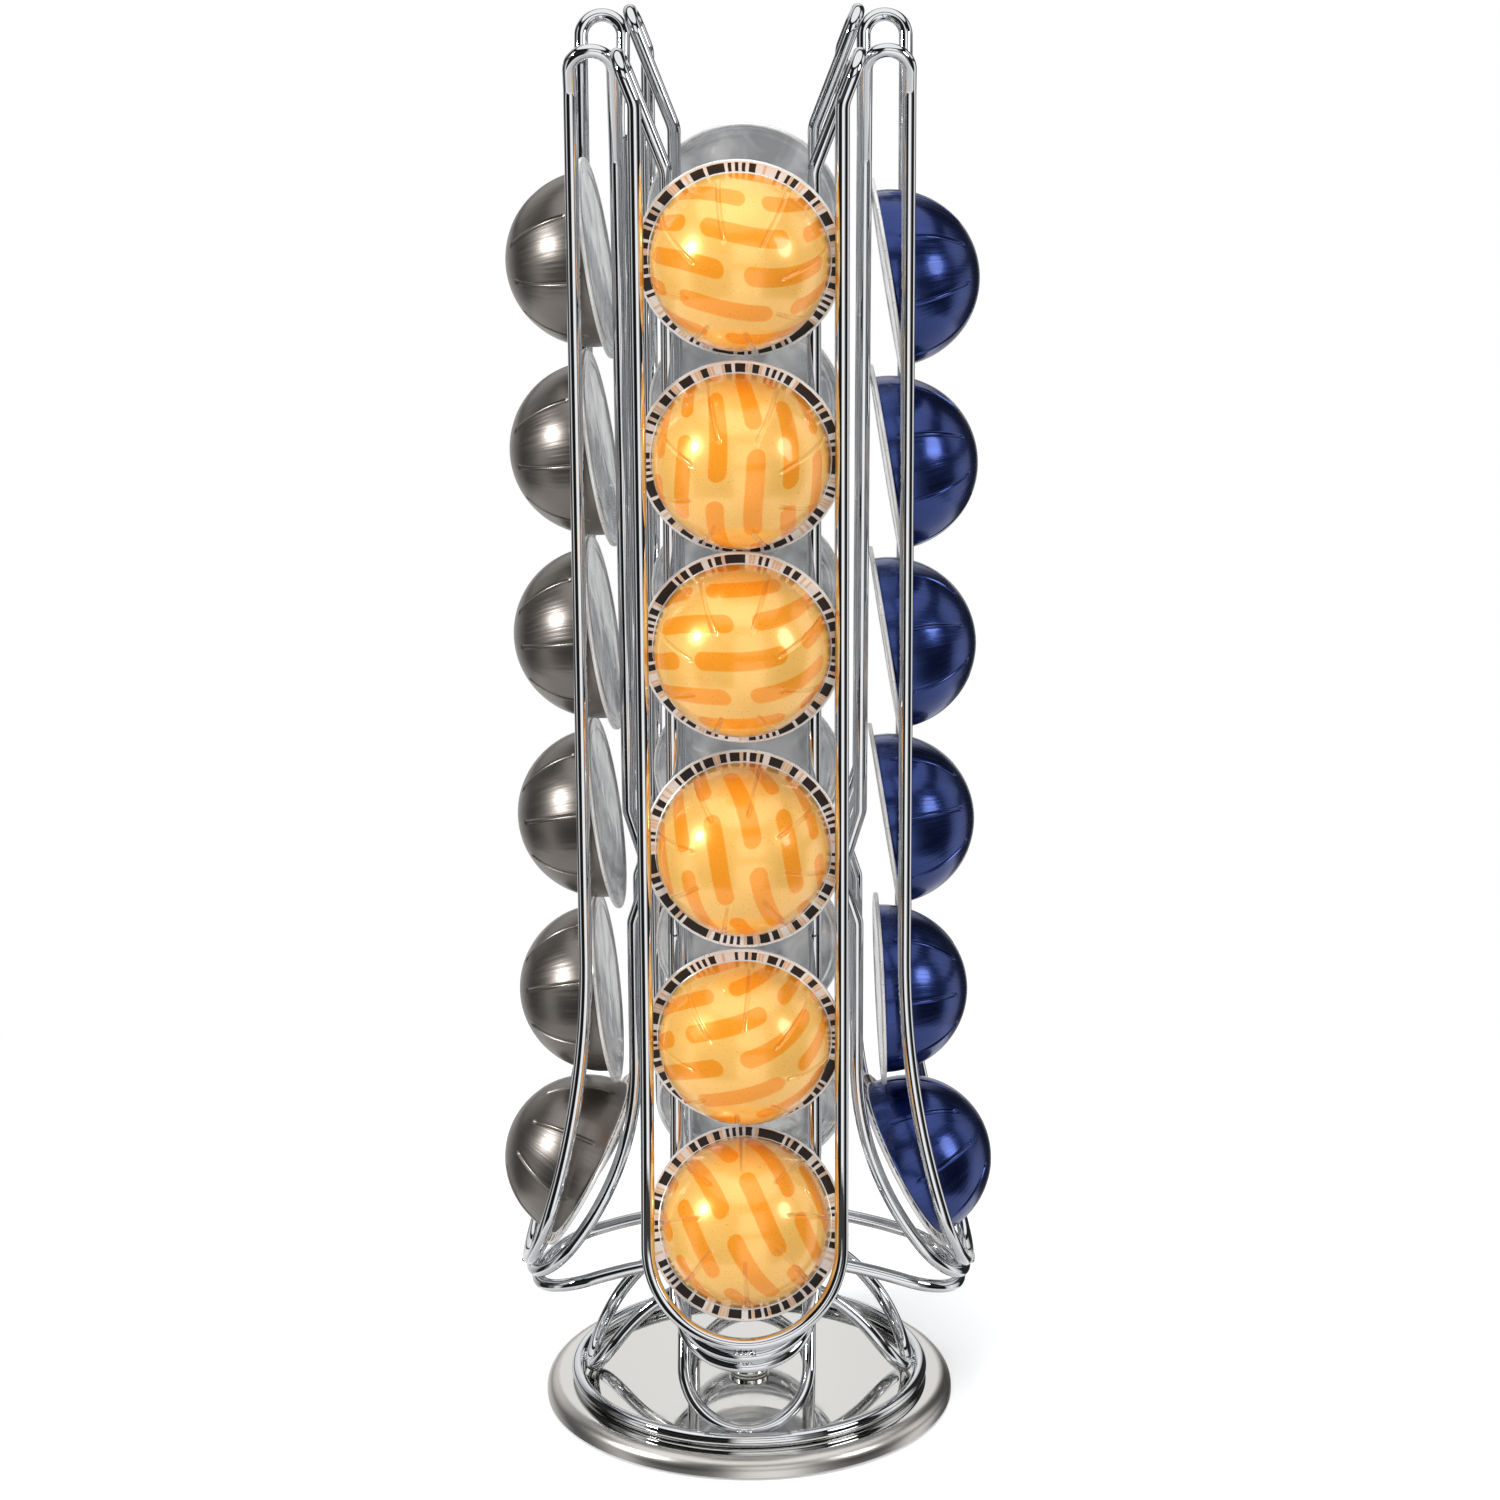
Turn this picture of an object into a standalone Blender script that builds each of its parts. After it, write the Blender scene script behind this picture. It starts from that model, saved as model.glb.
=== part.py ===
"""Revolving wire rack for large domed coffee capsules.

Four columns of six capsules stand between chromed wire rails. The cage of wires stands on a round
pan, and the pan turns on a fixed anti-slip foot. Metres, +Z up, origin at the middle of the foot's
underside, front of the rack towards -Y.
"""

import math

import bmesh
import bpy
import numpy
from mathutils import Vector

# Fits that every piece shares
FIT_GAP = 0.0003
WIRE_D = 0.0044
WIRE_R = WIRE_D / 2
WELD_STEP = WIRE_D + FIT_GAP
WIRE_SIDES_RESOLUTION = 2
MERGE_DISTANCE = 0.00001

# Capsule: a flat rim with a near-hemispherical body
CAPSULE_RIM_R = 0.0318
CAPSULE_RIM_THICKNESS = 0.0014
CAPSULE_FLANGE = 0.0040
CAPSULE_BODY_R = CAPSULE_RIM_R - CAPSULE_FLANGE
CAPSULE_BODY_DEPTH = 0.0283
CAPSULE_STEPS = 20
CAPSULE_BODY_SEGMENTS = 4
CAPSULES_PER_COLUMN = 6

# Each column's turn about the spin axis, from the right-hand one
TURN_DEGREES = {"front": -90.0, "right": 0.0, "back": 90.0, "left": 180.0}

# How the capsules of each column sit, from the fifth up to the first: outward tilt (positive lifts
# the body), turn about the vertical, and the climb from the capsule below as a share of the rim's
# diameter. Each one was dropped in by hand, so no two lean quite alike.
TILT_DEGREES = {
    "front": (-7.0, 9.0, -4.0, -6.0, -9.0),
    "right": (2.0, 9.0, 9.0, 9.0, 9.0),
    "back": (3.0, 11.0, 11.0, 11.0, 11.0),
    "left": (-7.0, -9.0, -9.0, -9.0, -9.0),
}
YAW_DEGREES = {
    "front": (1.6, 2.6, 2.6, 2.6, 2.6),
    "right": (-2.0, -2.6, -2.6, -2.6, -2.6),
    "back": (1.6, 1.6, 1.6, 1.6, 1.6),
    "left": (2.0, 2.6, 2.6, 2.6, 2.6),
}
CLIMB_SHARES = {
    "front": (0.9726, 0.9984, 1.0440, 0.9513, 0.9748),
    "right": (0.9569, 0.9272, 0.9371, 0.9371, 0.9371),
    "back": (0.9459, 0.9819, 0.9819, 0.9819, 0.9819),
    "left": (0.9648, 0.9591, 0.9591, 0.9591, 0.9591),
}
LOWEST_TILT_DEGREES = 28.0

# The fifth capsule on the right stands set in towards the inner rails
FIFTH_SET_IN = {"front": 0.0, "right": 0.003, "back": 0.0, "left": 0.0}

# Rails of a column, measured from the spin axis and from the column's middle plane
OUTER_RAIL_REACH = 0.0513
RIM_BEHIND_RAIL = 0.0007
OUTER_RAIL_SPREAD = CAPSULE_RIM_R - RIM_BEHIND_RAIL
CHANNEL_DEPTH = 0.0133
INNER_RAIL_REACH = OUTER_RAIL_REACH - CHANNEL_DEPTH
INNER_RAIL_SPREAD = 0.0224
INNER_RAIL_LEAN = 0.0010
LOWEST_SET_OUT = 0.0012
LOWEST_REACH = OUTER_RAIL_REACH + LOWEST_SET_OUT

# Heights along a column
HOOK_BEND_Z = 0.4245
OUTER_FLARE_Z = 0.169
INNER_FLARE_Z = 0.128
WAIST_TOP_Z = 0.215
WAIST_UPPER_Z = 0.198
WAIST_LOWER_Z = 0.190
WAIST_FOOT_Z = 0.177
WAIST_INSET = 0.0052
LOWER_RAIL_INSET = 0.0010
WAIST_BEND_R = 0.006

# Loading hooks: each leans away from the column's middle plane, nearly to the next column's hook
HOOK_MIDDLE_Z = 0.4543
HOOK_BEND_R = 0.009
HOOK_R = CHANNEL_DEPTH / 2
NEIGHBOUR_HOOK_GAP = 0.0014
HOOK_MIDDLE_SPREAD = INNER_RAIL_REACH - (WIRE_D + NEIGHBOUR_HOOK_GAP) / math.sqrt(2)
HOOK_LEAN = math.atan2(HOOK_MIDDLE_SPREAD - INNER_RAIL_SPREAD, HOOK_MIDDLE_Z - HOOK_BEND_Z)

# Foot of a column: the outer U ends here, and the other wires are welded under it
OUTER_TIP_REACH = 0.0736
OUTER_TIP_Z = 0.0514
INNER_TIP_LEAN_DEGREES = 13.3
CRADLE_TIP_LEAN_DEGREES = 21.0

# Crossing loops under the columns
LOOP_SPREAD = 0.0205
LOWEST_CROSSING_Z = 0.0470
CROSSING_STEP = WIRE_D + 2 * FIT_GAP
CRADLE_ARCH_POWER = 2.0
LEG_ARCH_POWER = 2.75
LEG_TIP_Z = 0.0112

# Turning pan and foot ring
PAN_R = 0.0685
PAN_TOP_Z = 0.0072
PAN_SHEET = 0.0010
PAN_EDGE_R = 0.0046
PAN_RIM_Z = 0.0012
RING_TO_EDGE = 0.0060
RING_REACH = PAN_R - PAN_EDGE_R - RING_TO_EDGE
TURNED_STEPS = 48

# Fixed foot, tucked in under the pan
BEARING_PLATE_INSET = 0.0080
BEARING_PLATE_R = PAN_R - BEARING_PLATE_INSET
PAD_INSET = 0.0005
PAD_R = BEARING_PLATE_R - PAD_INSET
PAD_THICKNESS = 0.0015
PAD_BORE_R = 0.0080
BEARING_PLATE_THICKNESS = 0.0012
GLIDE_RING_INSET = 0.0105
GLIDE_RING_R = BEARING_PLATE_R - GLIDE_RING_INSET
GLIDE_RING_WIDTH = 0.0080
BUSH_R = 0.0060
RIVET_SHANK_R = 0.0030
RIVET_HEAD_R = 0.00675
RIVET_HEAD_HEIGHT = 0.0026
RIVET_HEAD_EDGE_R = 0.0009
RIVET_TAIL_R = 0.0055
RIVET_TAIL_HEIGHT = 0.0009
WASHER_R = 0.0063
WASHER_THICKNESS = 0.0006
RIVET_STEPS = 24

# Numbers of straight pieces in each curve
LOOP_END_STEPS = 10
ARCH_LENGTH_STEPS = 200
LEG_STEPS = 8
ARCH_STEPS = 8
HOOK_STEPS = 3
U_STEPS = 12
FLARE_STEPS = 4
BEND_STEPS = 2
RING_STEPS = 48
RIM_SAMPLES = 72
SEARCH_ROUNDS = 40

# Colours as linear red, green and blue
CHROME = ((0.80, 0.81, 0.82), 0.10, 1.0)
PAN_STEEL = ((0.72, 0.71, 0.69), 0.16, 1.0)
PLATE_STEEL = ((0.46, 0.46, 0.46), 0.35, 1.0)
WHITE_NYLON = ((0.80, 0.79, 0.75), 0.45, 0.0)
BLACK_RUBBER = ((0.02, 0.02, 0.02), 0.80, 0.0)
CAPSULE_FINISHES = {
    "front": ((0.85, 0.47, 0.09), 0.30, 0.8),
    "right": ((0.012, 0.030, 0.16), 0.28, 0.9),
    "back": ((0.62, 0.62, 0.62), 0.30, 0.9),
    "left": ((0.17, 0.16, 0.15), 0.30, 0.9),
}


def clear_scene():
    for old in list(bpy.data.objects):
        bpy.data.objects.remove(old, do_unlink=True)


def new_collection(name):
    made = bpy.data.collections.new(name)
    bpy.context.scene.collection.children.link(made)
    return made


def new_material(name, finish):
    colour, roughness, metallic = finish
    made = bpy.data.materials.new(name)
    made.use_nodes = True
    shader = made.node_tree.nodes["Principled BSDF"]
    shader.inputs["Base Color"].default_value = (*colour, 1.0)
    shader.inputs["Roughness"].default_value = roughness
    shader.inputs["Metallic"].default_value = metallic
    return made


def new_empty(name, parent=None, turn=0.0):
    made = bpy.data.objects.new(name, None)
    made.rotation_euler = (0.0, 0.0, turn)
    made.parent = parent
    RACK.objects.link(made)
    return made


# Wires are poly curves, so that a straight rail costs no more than its two ends
def wire(name, points, parent, closed=False):
    curve = bpy.data.curves.new(name, "CURVE")
    curve.dimensions = "3D"
    curve.bevel_depth = WIRE_R
    curve.bevel_resolution = WIRE_SIDES_RESOLUTION
    curve.use_fill_caps = True
    spline = curve.splines.new("POLY")
    spline.points.add(len(points) - 1)
    for place, point in zip(spline.points, points):
        place.co = (*point, 1.0)
    spline.use_cyclic_u = closed
    spline.use_smooth = True
    curve.materials.append(MATERIALS["chrome"])
    made = bpy.data.objects.new(name, curve)
    made.parent = parent
    RACK.objects.link(made)
    return made


# A turned piece: the profile runs down its outer side, and the Screw modifier spins it about Z
def turned(name, profile, material, parent, steps, closed=False):
    mesh = bpy.data.meshes.new(name)
    shape = bmesh.new()
    corners = [shape.verts.new((radius, 0.0, height)) for radius, height in profile]
    for upper, lower in zip(corners, corners[1:]):
        shape.edges.new((upper, lower))
    if closed:
        shape.edges.new((corners[-1], corners[0]))
    shape.to_mesh(mesh)
    shape.free()
    mesh.materials.append(material)
    made = bpy.data.objects.new(name, mesh)
    spin = made.modifiers.new("turn", "SCREW")
    spin.axis = "Z"
    spin.steps = steps
    spin.render_steps = steps
    spin.use_merge_vertices = True
    spin.merge_threshold = MERGE_DISTANCE
    spin.use_smooth_shade = True
    made.parent = parent
    RACK.objects.link(made)
    return made


def arc(centre, radius, start, end, steps):
    """Points of an arc in a plane, both ends included, angles in radians."""
    turns = [start + (end - start) * step / steps for step in range(steps + 1)]
    return [(centre[0] + radius * math.cos(turn), centre[1] + radius * math.sin(turn)) for turn in turns]


def rounded_corner(before, corner, after, radius):
    """Points of the bend that replaces a corner between two runs, no longer than half of either."""
    inward = (before - corner).normalized()
    outward = (after - corner).normalized()
    half = inward.angle(outward) / 2
    reach = min(radius / math.tan(half), (before - corner).length / 2, (after - corner).length / 2)
    middle = corner + (inward + outward).normalized() * (reach / math.cos(half))
    first = corner + inward * reach - middle
    last = corner + outward * reach - middle
    sweep = first.angle(last)
    points = []
    for step in range(BEND_STEPS + 1):
        share = step / BEND_STEPS
        weight_first = math.sin((1 - share) * sweep) / math.sin(sweep)
        weight_last = math.sin(share * sweep) / math.sin(sweep)
        points.append(middle + first * weight_first + last * weight_last)
    return points


def with_bends(corners, radii):
    """The run through the corners, with each inner corner bent to its radius."""
    points = [corners[0]]
    for before, corner, after, radius in zip(corners, corners[1:], corners[2:], radii):
        points += rounded_corner(before, corner, after, radius)
    points.append(corners[-1])
    return points


class Flare:
    """The foot of a rail: an arc that leaves the vertical at one point and ends at the tip."""

    def __init__(self, reach, top_z, tip_reach, tip_z):
        self.reach = reach
        self.top_z = top_z
        self.sweep = 2 * math.atan2(tip_reach - reach, top_z - tip_z)
        self.radius = (top_z - tip_z) / math.sin(self.sweep)
        self.length = self.radius * self.sweep

    def at(self, along, spread):
        turn = along / self.radius
        reach = self.reach + self.radius * (1 - math.cos(turn))
        return Vector((reach, spread, self.top_z - self.radius * math.sin(turn)))

    def foot(self, spread):
        """Down one side, round the U and up the other side, on the flared surface."""
        start = self.length - spread
        down = [self.at(start * step / FLARE_STEPS, spread) for step in range(FLARE_STEPS)]
        turns = [math.pi * step / U_STEPS for step in range(U_STEPS + 1)]
        around = [self.at(start + spread * math.sin(turn), spread * math.cos(turn)) for turn in turns]
        up = [Vector((point.x, -point.y, point.z)) for point in reversed(down)]
        return down + around + up


def hook_point(reach, climb):
    """A point of the leaning plane of a loading hook, its climb measured along the lean."""
    spread = INNER_RAIL_SPREAD + climb * math.sin(HOOK_LEAN)
    return Vector((reach, spread, HOOK_BEND_Z + climb * math.cos(HOOK_LEAN)))


def hook_quarter(side):
    """A quarter of the hook's round top, from the butt joint to the leg; side is 1 for the outer leg."""
    reach = INNER_RAIL_REACH + HOOK_R
    climb = (HOOK_MIDDLE_Z - HOOK_BEND_Z) / math.cos(HOOK_LEAN)
    butt = [hook_point(reach + side * aside, climb + HOOK_R) for aside in (FIT_GAP / 2, WIRE_R / 2)]
    end = 0.0 if side > 0 else math.pi
    around = arc((reach, climb), HOOK_R, math.pi / 2, end, HOOK_STEPS)
    return butt + [hook_point(*point) for point in around[1:]]


def mirrored(points):
    return [Vector((point.x, -point.y, point.z)) for point in reversed(points)]


# Tips of the wires that are welded in a stack under each column
def step_below(tip, lean_degrees):
    lean = math.radians(lean_degrees)
    return (tip[0] - WELD_STEP * math.sin(lean), tip[1] - WELD_STEP * math.cos(lean))


OUTER_TIP = (OUTER_TIP_REACH, OUTER_TIP_Z)
INNER_TIP = step_below(OUTER_TIP, INNER_TIP_LEAN_DEGREES)
CRADLE_TIP = step_below(INNER_TIP, CRADLE_TIP_LEAN_DEGREES)
OUTER_FLARE = Flare(OUTER_RAIL_REACH, OUTER_FLARE_Z, *OUTER_TIP)
LOWER_RAIL_REACH = INNER_RAIL_REACH - INNER_RAIL_LEAN - LOWER_RAIL_INSET
INNER_FLARE = Flare(LOWER_RAIL_REACH, INNER_FLARE_Z, *INNER_TIP)


def outer_bend():
    """Where a hook's outer leg meets its upright rail; from a hook further in, the leg splays out to it."""
    rise = 0.0
    if HOOK_MIDDLE_SPREAD > OUTER_RAIL_SPREAD:
        rise = (OUTER_RAIL_SPREAD - INNER_RAIL_SPREAD) / math.tan(HOOK_LEAN)
    return Vector((OUTER_RAIL_REACH, OUTER_RAIL_SPREAD, HOOK_BEND_Z + rise))


def outer_wire_points():
    top = hook_quarter(1)
    bend = outer_bend()
    foot = OUTER_FLARE.foot(OUTER_RAIL_SPREAD)
    side = top[:-1] + with_bends([top[-1], bend, foot[0]], [HOOK_BEND_R])[:-1]
    return side + foot + mirrored(side)


def inner_wire_points():
    top = hook_quarter(-1)
    foot = INNER_FLARE.foot(INNER_RAIL_SPREAD)
    waist_reach = INNER_RAIL_REACH - INNER_RAIL_LEAN - WAIST_INSET
    corners = [top[-1], Vector((INNER_RAIL_REACH, INNER_RAIL_SPREAD, HOOK_BEND_Z))]
    corners.append(Vector((INNER_RAIL_REACH - INNER_RAIL_LEAN, INNER_RAIL_SPREAD, WAIST_TOP_Z)))
    corners.append(Vector((waist_reach, INNER_RAIL_SPREAD, WAIST_UPPER_Z)))
    corners.append(Vector((waist_reach, INNER_RAIL_SPREAD, WAIST_LOWER_Z)))
    corners.append(Vector((LOWER_RAIL_REACH, INNER_RAIL_SPREAD, WAIST_FOOT_Z)))
    corners.append(foot[0])
    radii = [HOOK_BEND_R] + [WAIST_BEND_R] * 4
    side = top[:-1] + with_bends(corners, radii)[:-1]
    return side + foot + mirrored(side)


def crossing_loop_points(tip, crossing_z, power):
    """A closed racetrack loop, bent over an arch that spans the rack and crosses its partner."""
    span = tip[0] ** power - LOOP_SPREAD**power

    def height(along):
        return crossing_z + (tip[1] - crossing_z) * (abs(along) ** power - LOOP_SPREAD**power) / span

    reaches = [tip[0] * step / ARCH_LENGTH_STEPS for step in range(ARCH_LENGTH_STEPS + 1)]
    lengths = [0.0]
    for near, far in zip(reaches, reaches[1:]):
        lengths.append(lengths[-1] + math.hypot(far - near, height(far) - height(near)))

    def reach_at(length):
        """How far out the arch has come after a length of wire measured from its middle."""
        return float(numpy.interp(length, lengths, reaches))

    straight = lengths[-1] - LOOP_SPREAD
    end = [math.pi * step / LOOP_END_STEPS - math.pi / 2 for step in range(LOOP_END_STEPS + 1)]
    near_end = [(reach_at(straight + LOOP_SPREAD * math.cos(turn)), LOOP_SPREAD * math.sin(turn)) for turn in end]
    leg = near_end[-1][0]
    half = near_end + [(leg - 2 * leg * step / LEG_STEPS, LOOP_SPREAD) for step in range(1, LEG_STEPS)]
    plan = half + [(-along, -across) for along, across in half]
    return [Vector((along, across, height(along))) for along, across in plan]


# Capsules: where a tilted rim meets the rails decides how far out it can stand
def capsule_axes(tilt, yaw):
    """Unit vectors along the capsule's axis, across its rim and up its rim, in the column's frame."""
    flat = Vector((math.cos(yaw), -math.sin(yaw), 0.0))
    across = Vector((math.sin(yaw), math.cos(yaw), 0.0))
    axis = flat * math.cos(tilt) + Vector((0.0, 0.0, math.sin(tilt)))
    return axis, across, axis.cross(across)


def rim_points(tilt, yaw):
    """Points of the rim's outer edge, taken from the capsule's own centre."""
    axis, across, upright = capsule_axes(tilt, yaw)
    turns = [2 * math.pi * sample / RIM_SAMPLES for sample in range(RIM_SAMPLES)]
    face = axis * (CAPSULE_RIM_THICKNESS / 2)
    return [
        face + (across * math.cos(turn) + upright * math.sin(turn)) * CAPSULE_RIM_R for turn in turns
    ]


def reach_behind_outer_rails(tilt, yaw):
    """The furthest a rim can stand out and still slide up behind the upright outer rails."""
    room = WIRE_R + FIT_GAP
    reaches = []
    for point in rim_points(tilt, yaw):
        aside = abs(abs(point.y) - OUTER_RAIL_SPREAD)
        if aside < room:
            reaches.append(OUTER_RAIL_REACH - math.sqrt(room**2 - aside**2) - point.x)
    return min(reaches)


def wire_distance(point, centre, axes):
    """Distance from a wire's centre line point to a capsule, negative inside it."""
    axis = axes[0]
    offset = point - centre
    depth = offset.dot(axis)
    radius = (offset - axis * depth).length
    half = CAPSULE_RIM_THICKNESS / 2
    rim = math.hypot(max(radius - CAPSULE_RIM_R, 0.0), max(abs(depth) - half, 0.0))
    if depth < half:
        return rim
    stretch = math.hypot(radius / CAPSULE_BODY_R, (depth - half) / CAPSULE_BODY_DEPTH)
    return min(rim, (stretch - 1) * CAPSULE_BODY_R)


def resting_height(reach, tilt):
    """How low a capsule can stand in the flare before it meets the wires of the U ends."""
    axes = capsule_axes(tilt, 0.0)
    points = outer_wire_points() + inner_wire_points()
    foot = [point for point in dense(points) if point.z < OUTER_FLARE_Z]
    low = OUTER_TIP_Z
    high = OUTER_TIP_Z + CAPSULE_RIM_R + WIRE_D
    for _ in range(SEARCH_ROUNDS):
        middle = (low + high) / 2
        centre = Vector((reach, 0.0, middle))
        clear = min(wire_distance(point, centre, axes) for point in foot)
        if clear > WIRE_R + FIT_GAP:
            high = middle
        else:
            low = middle
    return high


def dense(points):
    """The same run with points between its own, so that no straight piece is skipped."""
    filled = []
    for first, last in zip(points, points[1:]):
        count = max(1, round((last - first).length / WIRE_D))
        filled += [first.lerp(last, step / count) for step in range(count)]
    return filled + [points[-1]]


def capsule_profile():
    half = CAPSULE_RIM_THICKNESS / 2
    profile = [(0.0, half + CAPSULE_BODY_DEPTH)]
    for segment in range(1, CAPSULE_BODY_SEGMENTS + 1):
        turn = math.pi / 2 * segment / CAPSULE_BODY_SEGMENTS
        profile.append((CAPSULE_BODY_R * math.sin(turn), half + CAPSULE_BODY_DEPTH * math.cos(turn)))
    profile += [(CAPSULE_RIM_R, half), (CAPSULE_RIM_R, -half), (0.0, -half)]
    return profile


def capsule(column, number, parent, place, tilt, yaw):
    name = f"capsule_{column}_{number}"
    made = turned(name, capsule_profile(), MATERIALS[column], parent, CAPSULE_STEPS)
    made.location = place
    made.rotation_euler = (0.0, math.pi / 2 - tilt, -yaw)
    return made


def fill_column(column, parent):
    """Six capsules from the flare upward, numbered from the top."""
    lowest_tilt = math.radians(LOWEST_TILT_DEGREES)
    height = resting_height(LOWEST_REACH, lowest_tilt)
    capsule(column, CAPSULES_PER_COLUMN, parent, (LOWEST_REACH, 0.0, height), lowest_tilt, 0.0)
    set_in = FIFTH_SET_IN[column]
    seats = zip(TILT_DEGREES[column], YAW_DEGREES[column], CLIMB_SHARES[column])
    for step, (tilt_degrees, yaw_degrees, climb_share) in enumerate(seats, 1):
        height += climb_share * 2 * CAPSULE_RIM_R
        tilt = math.radians(tilt_degrees)
        yaw = math.radians(yaw_degrees)
        reach = reach_behind_outer_rails(tilt, yaw) - set_in
        capsule(column, CAPSULES_PER_COLUMN - step, parent, (reach, 0.0, height), tilt, yaw)
        set_in = 0.0


# Column wires
def build_column(column):
    place = new_empty(f"column_{column}", CAROUSEL, math.radians(TURN_DEGREES[column]))
    wire(f"outer_wire_{column}", outer_wire_points(), place)
    wire(f"inner_wire_{column}", inner_wire_points(), place)
    fill_column(column, place)


# Crossing loops: each pair crosses with one wire lying on the other
def build_loops():
    across = new_empty("loops_left_right", CAROUSEL)
    along = new_empty("loops_front_rear", CAROUSEL, math.pi / 2)
    leg_tip = (RING_REACH - WELD_STEP, LEG_TIP_Z)
    level = [LOWEST_CROSSING_Z + CROSSING_STEP * layer for layer in range(4)]
    wire("leg_loop_left_right", crossing_loop_points(leg_tip, level[0], LEG_ARCH_POWER), across, True)
    wire("leg_loop_front_rear", crossing_loop_points(leg_tip, level[1], LEG_ARCH_POWER), along, True)
    wire("cradle_left_right", crossing_loop_points(CRADLE_TIP, level[2], CRADLE_ARCH_POWER), across, True)
    wire("cradle_front_rear", crossing_loop_points(CRADLE_TIP, level[3], CRADLE_ARCH_POWER), along, True)


# Foot ring: a closed wire ring that lies on the pan
def build_foot_ring():
    height = PAN_TOP_Z + FIT_GAP + WIRE_R
    plan = arc((0.0, 0.0), RING_REACH, 0.0, 2 * math.pi, RING_STEPS)[:-1]
    wire("foot_ring", [Vector((along, across, height)) for along, across in plan], CAROUSEL, True)


# Turning pan: a pressed sheet, flat on top, its edge rolled down to just above the table
def build_pan():
    bore = RIVET_SHANK_R + FIT_GAP
    edge = (PAN_R - PAN_EDGE_R, PAN_TOP_Z - PAN_EDGE_R)
    outside = arc(edge, PAN_EDGE_R, math.pi / 2, 0.0, ARCH_STEPS // 2)
    inside = arc(edge, PAN_EDGE_R - PAN_SHEET, 0.0, math.pi / 2, ARCH_STEPS // 2)
    profile = [(bore, PAN_TOP_Z)] + outside
    profile += [(PAN_R, PAN_RIM_Z), (PAN_R - PAN_SHEET, PAN_RIM_Z)]
    profile += inside + [(bore, PAN_TOP_Z - PAN_SHEET)]
    turned("turntable_pan", profile, MATERIALS["pan"], CAROUSEL, TURNED_STEPS, True)


def flat_ring(name, outer, bore, bottom, top, material, steps):
    profile = [(bore, top), (outer, top), (outer, bottom), (bore, bottom)]
    turned(name, profile, material, FOOT, steps, True)


# Fixed foot: pad, bearing plate, glide ring, bush, washer and the rivet that holds the stack
def build_foot():
    bore = RIVET_SHANK_R + FIT_GAP
    plate_bottom = PAD_THICKNESS + FIT_GAP
    plate_top = plate_bottom + BEARING_PLATE_THICKNESS
    pan_bottom = PAN_TOP_Z - PAN_SHEET
    spacing = (plate_top + FIT_GAP, pan_bottom - FIT_GAP)
    flat_ring("anti_slip_pad", PAD_R, PAD_BORE_R, 0.0, PAD_THICKNESS, MATERIALS["rubber"], TURNED_STEPS)
    plate = (plate_bottom, plate_top)
    flat_ring("bearing_plate", BEARING_PLATE_R, bore, *plate, MATERIALS["plate"], TURNED_STEPS)
    glide_bore = GLIDE_RING_R - GLIDE_RING_WIDTH
    flat_ring("glide_ring", GLIDE_RING_R, glide_bore, *spacing, MATERIALS["nylon"], TURNED_STEPS)
    flat_ring("pivot_bush", BUSH_R, bore, *spacing, MATERIALS["nylon"], RIVET_STEPS)
    washer_bottom = PAN_TOP_Z + FIT_GAP
    washer_top = washer_bottom + WASHER_THICKNESS
    flat_ring("pivot_washer", WASHER_R, bore, washer_bottom, washer_top, MATERIALS["nylon"], RIVET_STEPS)
    head_bottom = washer_top + FIT_GAP
    head_top = head_bottom + RIVET_HEAD_HEIGHT
    tail_top = PAD_THICKNESS
    edge = (RIVET_HEAD_R - RIVET_HEAD_EDGE_R, head_top - RIVET_HEAD_EDGE_R)
    profile = [(0.0, head_top)] + arc(edge, RIVET_HEAD_EDGE_R, math.pi / 2, 0.0, BEND_STEPS)
    profile += [(RIVET_HEAD_R, head_bottom), (RIVET_SHANK_R, head_bottom), (RIVET_SHANK_R, tail_top)]
    profile += [(RIVET_TAIL_R, tail_top), (RIVET_TAIL_R, tail_top - RIVET_TAIL_HEIGHT)]
    profile.append((0.0, tail_top - RIVET_TAIL_HEIGHT))
    turned("pivot_rivet", profile, MATERIALS["pan"], FOOT, RIVET_STEPS)


clear_scene()
RACK = new_collection("capsule_dispenser")
MATERIALS = {
    "chrome": new_material("chromed wire", CHROME),
    "pan": new_material("polished pan steel", PAN_STEEL),
    "plate": new_material("plain plate steel", PLATE_STEEL),
    "nylon": new_material("white nylon", WHITE_NYLON),
    "rubber": new_material("black rubber", BLACK_RUBBER),
}
for side, finish in CAPSULE_FINISHES.items():
    MATERIALS[side] = new_material(f"capsule foil {side}", finish)
FOOT = new_empty("foot")
CAROUSEL = new_empty("carousel", FOOT)
build_foot()
build_pan()
build_foot_ring()
build_loops()
for side in TURN_DEGREES:
    build_column(side)
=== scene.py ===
"""Revolving wire rack with four columns of domed coffee capsules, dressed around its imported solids.

Metres, +Z up, the spin axis at the origin and the front of the rack towards -Y. Sizes are written
in millimetres, as a maker would, and MM turns them to metres.
"""

import bisect
import math

import bpy
from mathutils import Matrix, Vector, noise


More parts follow.
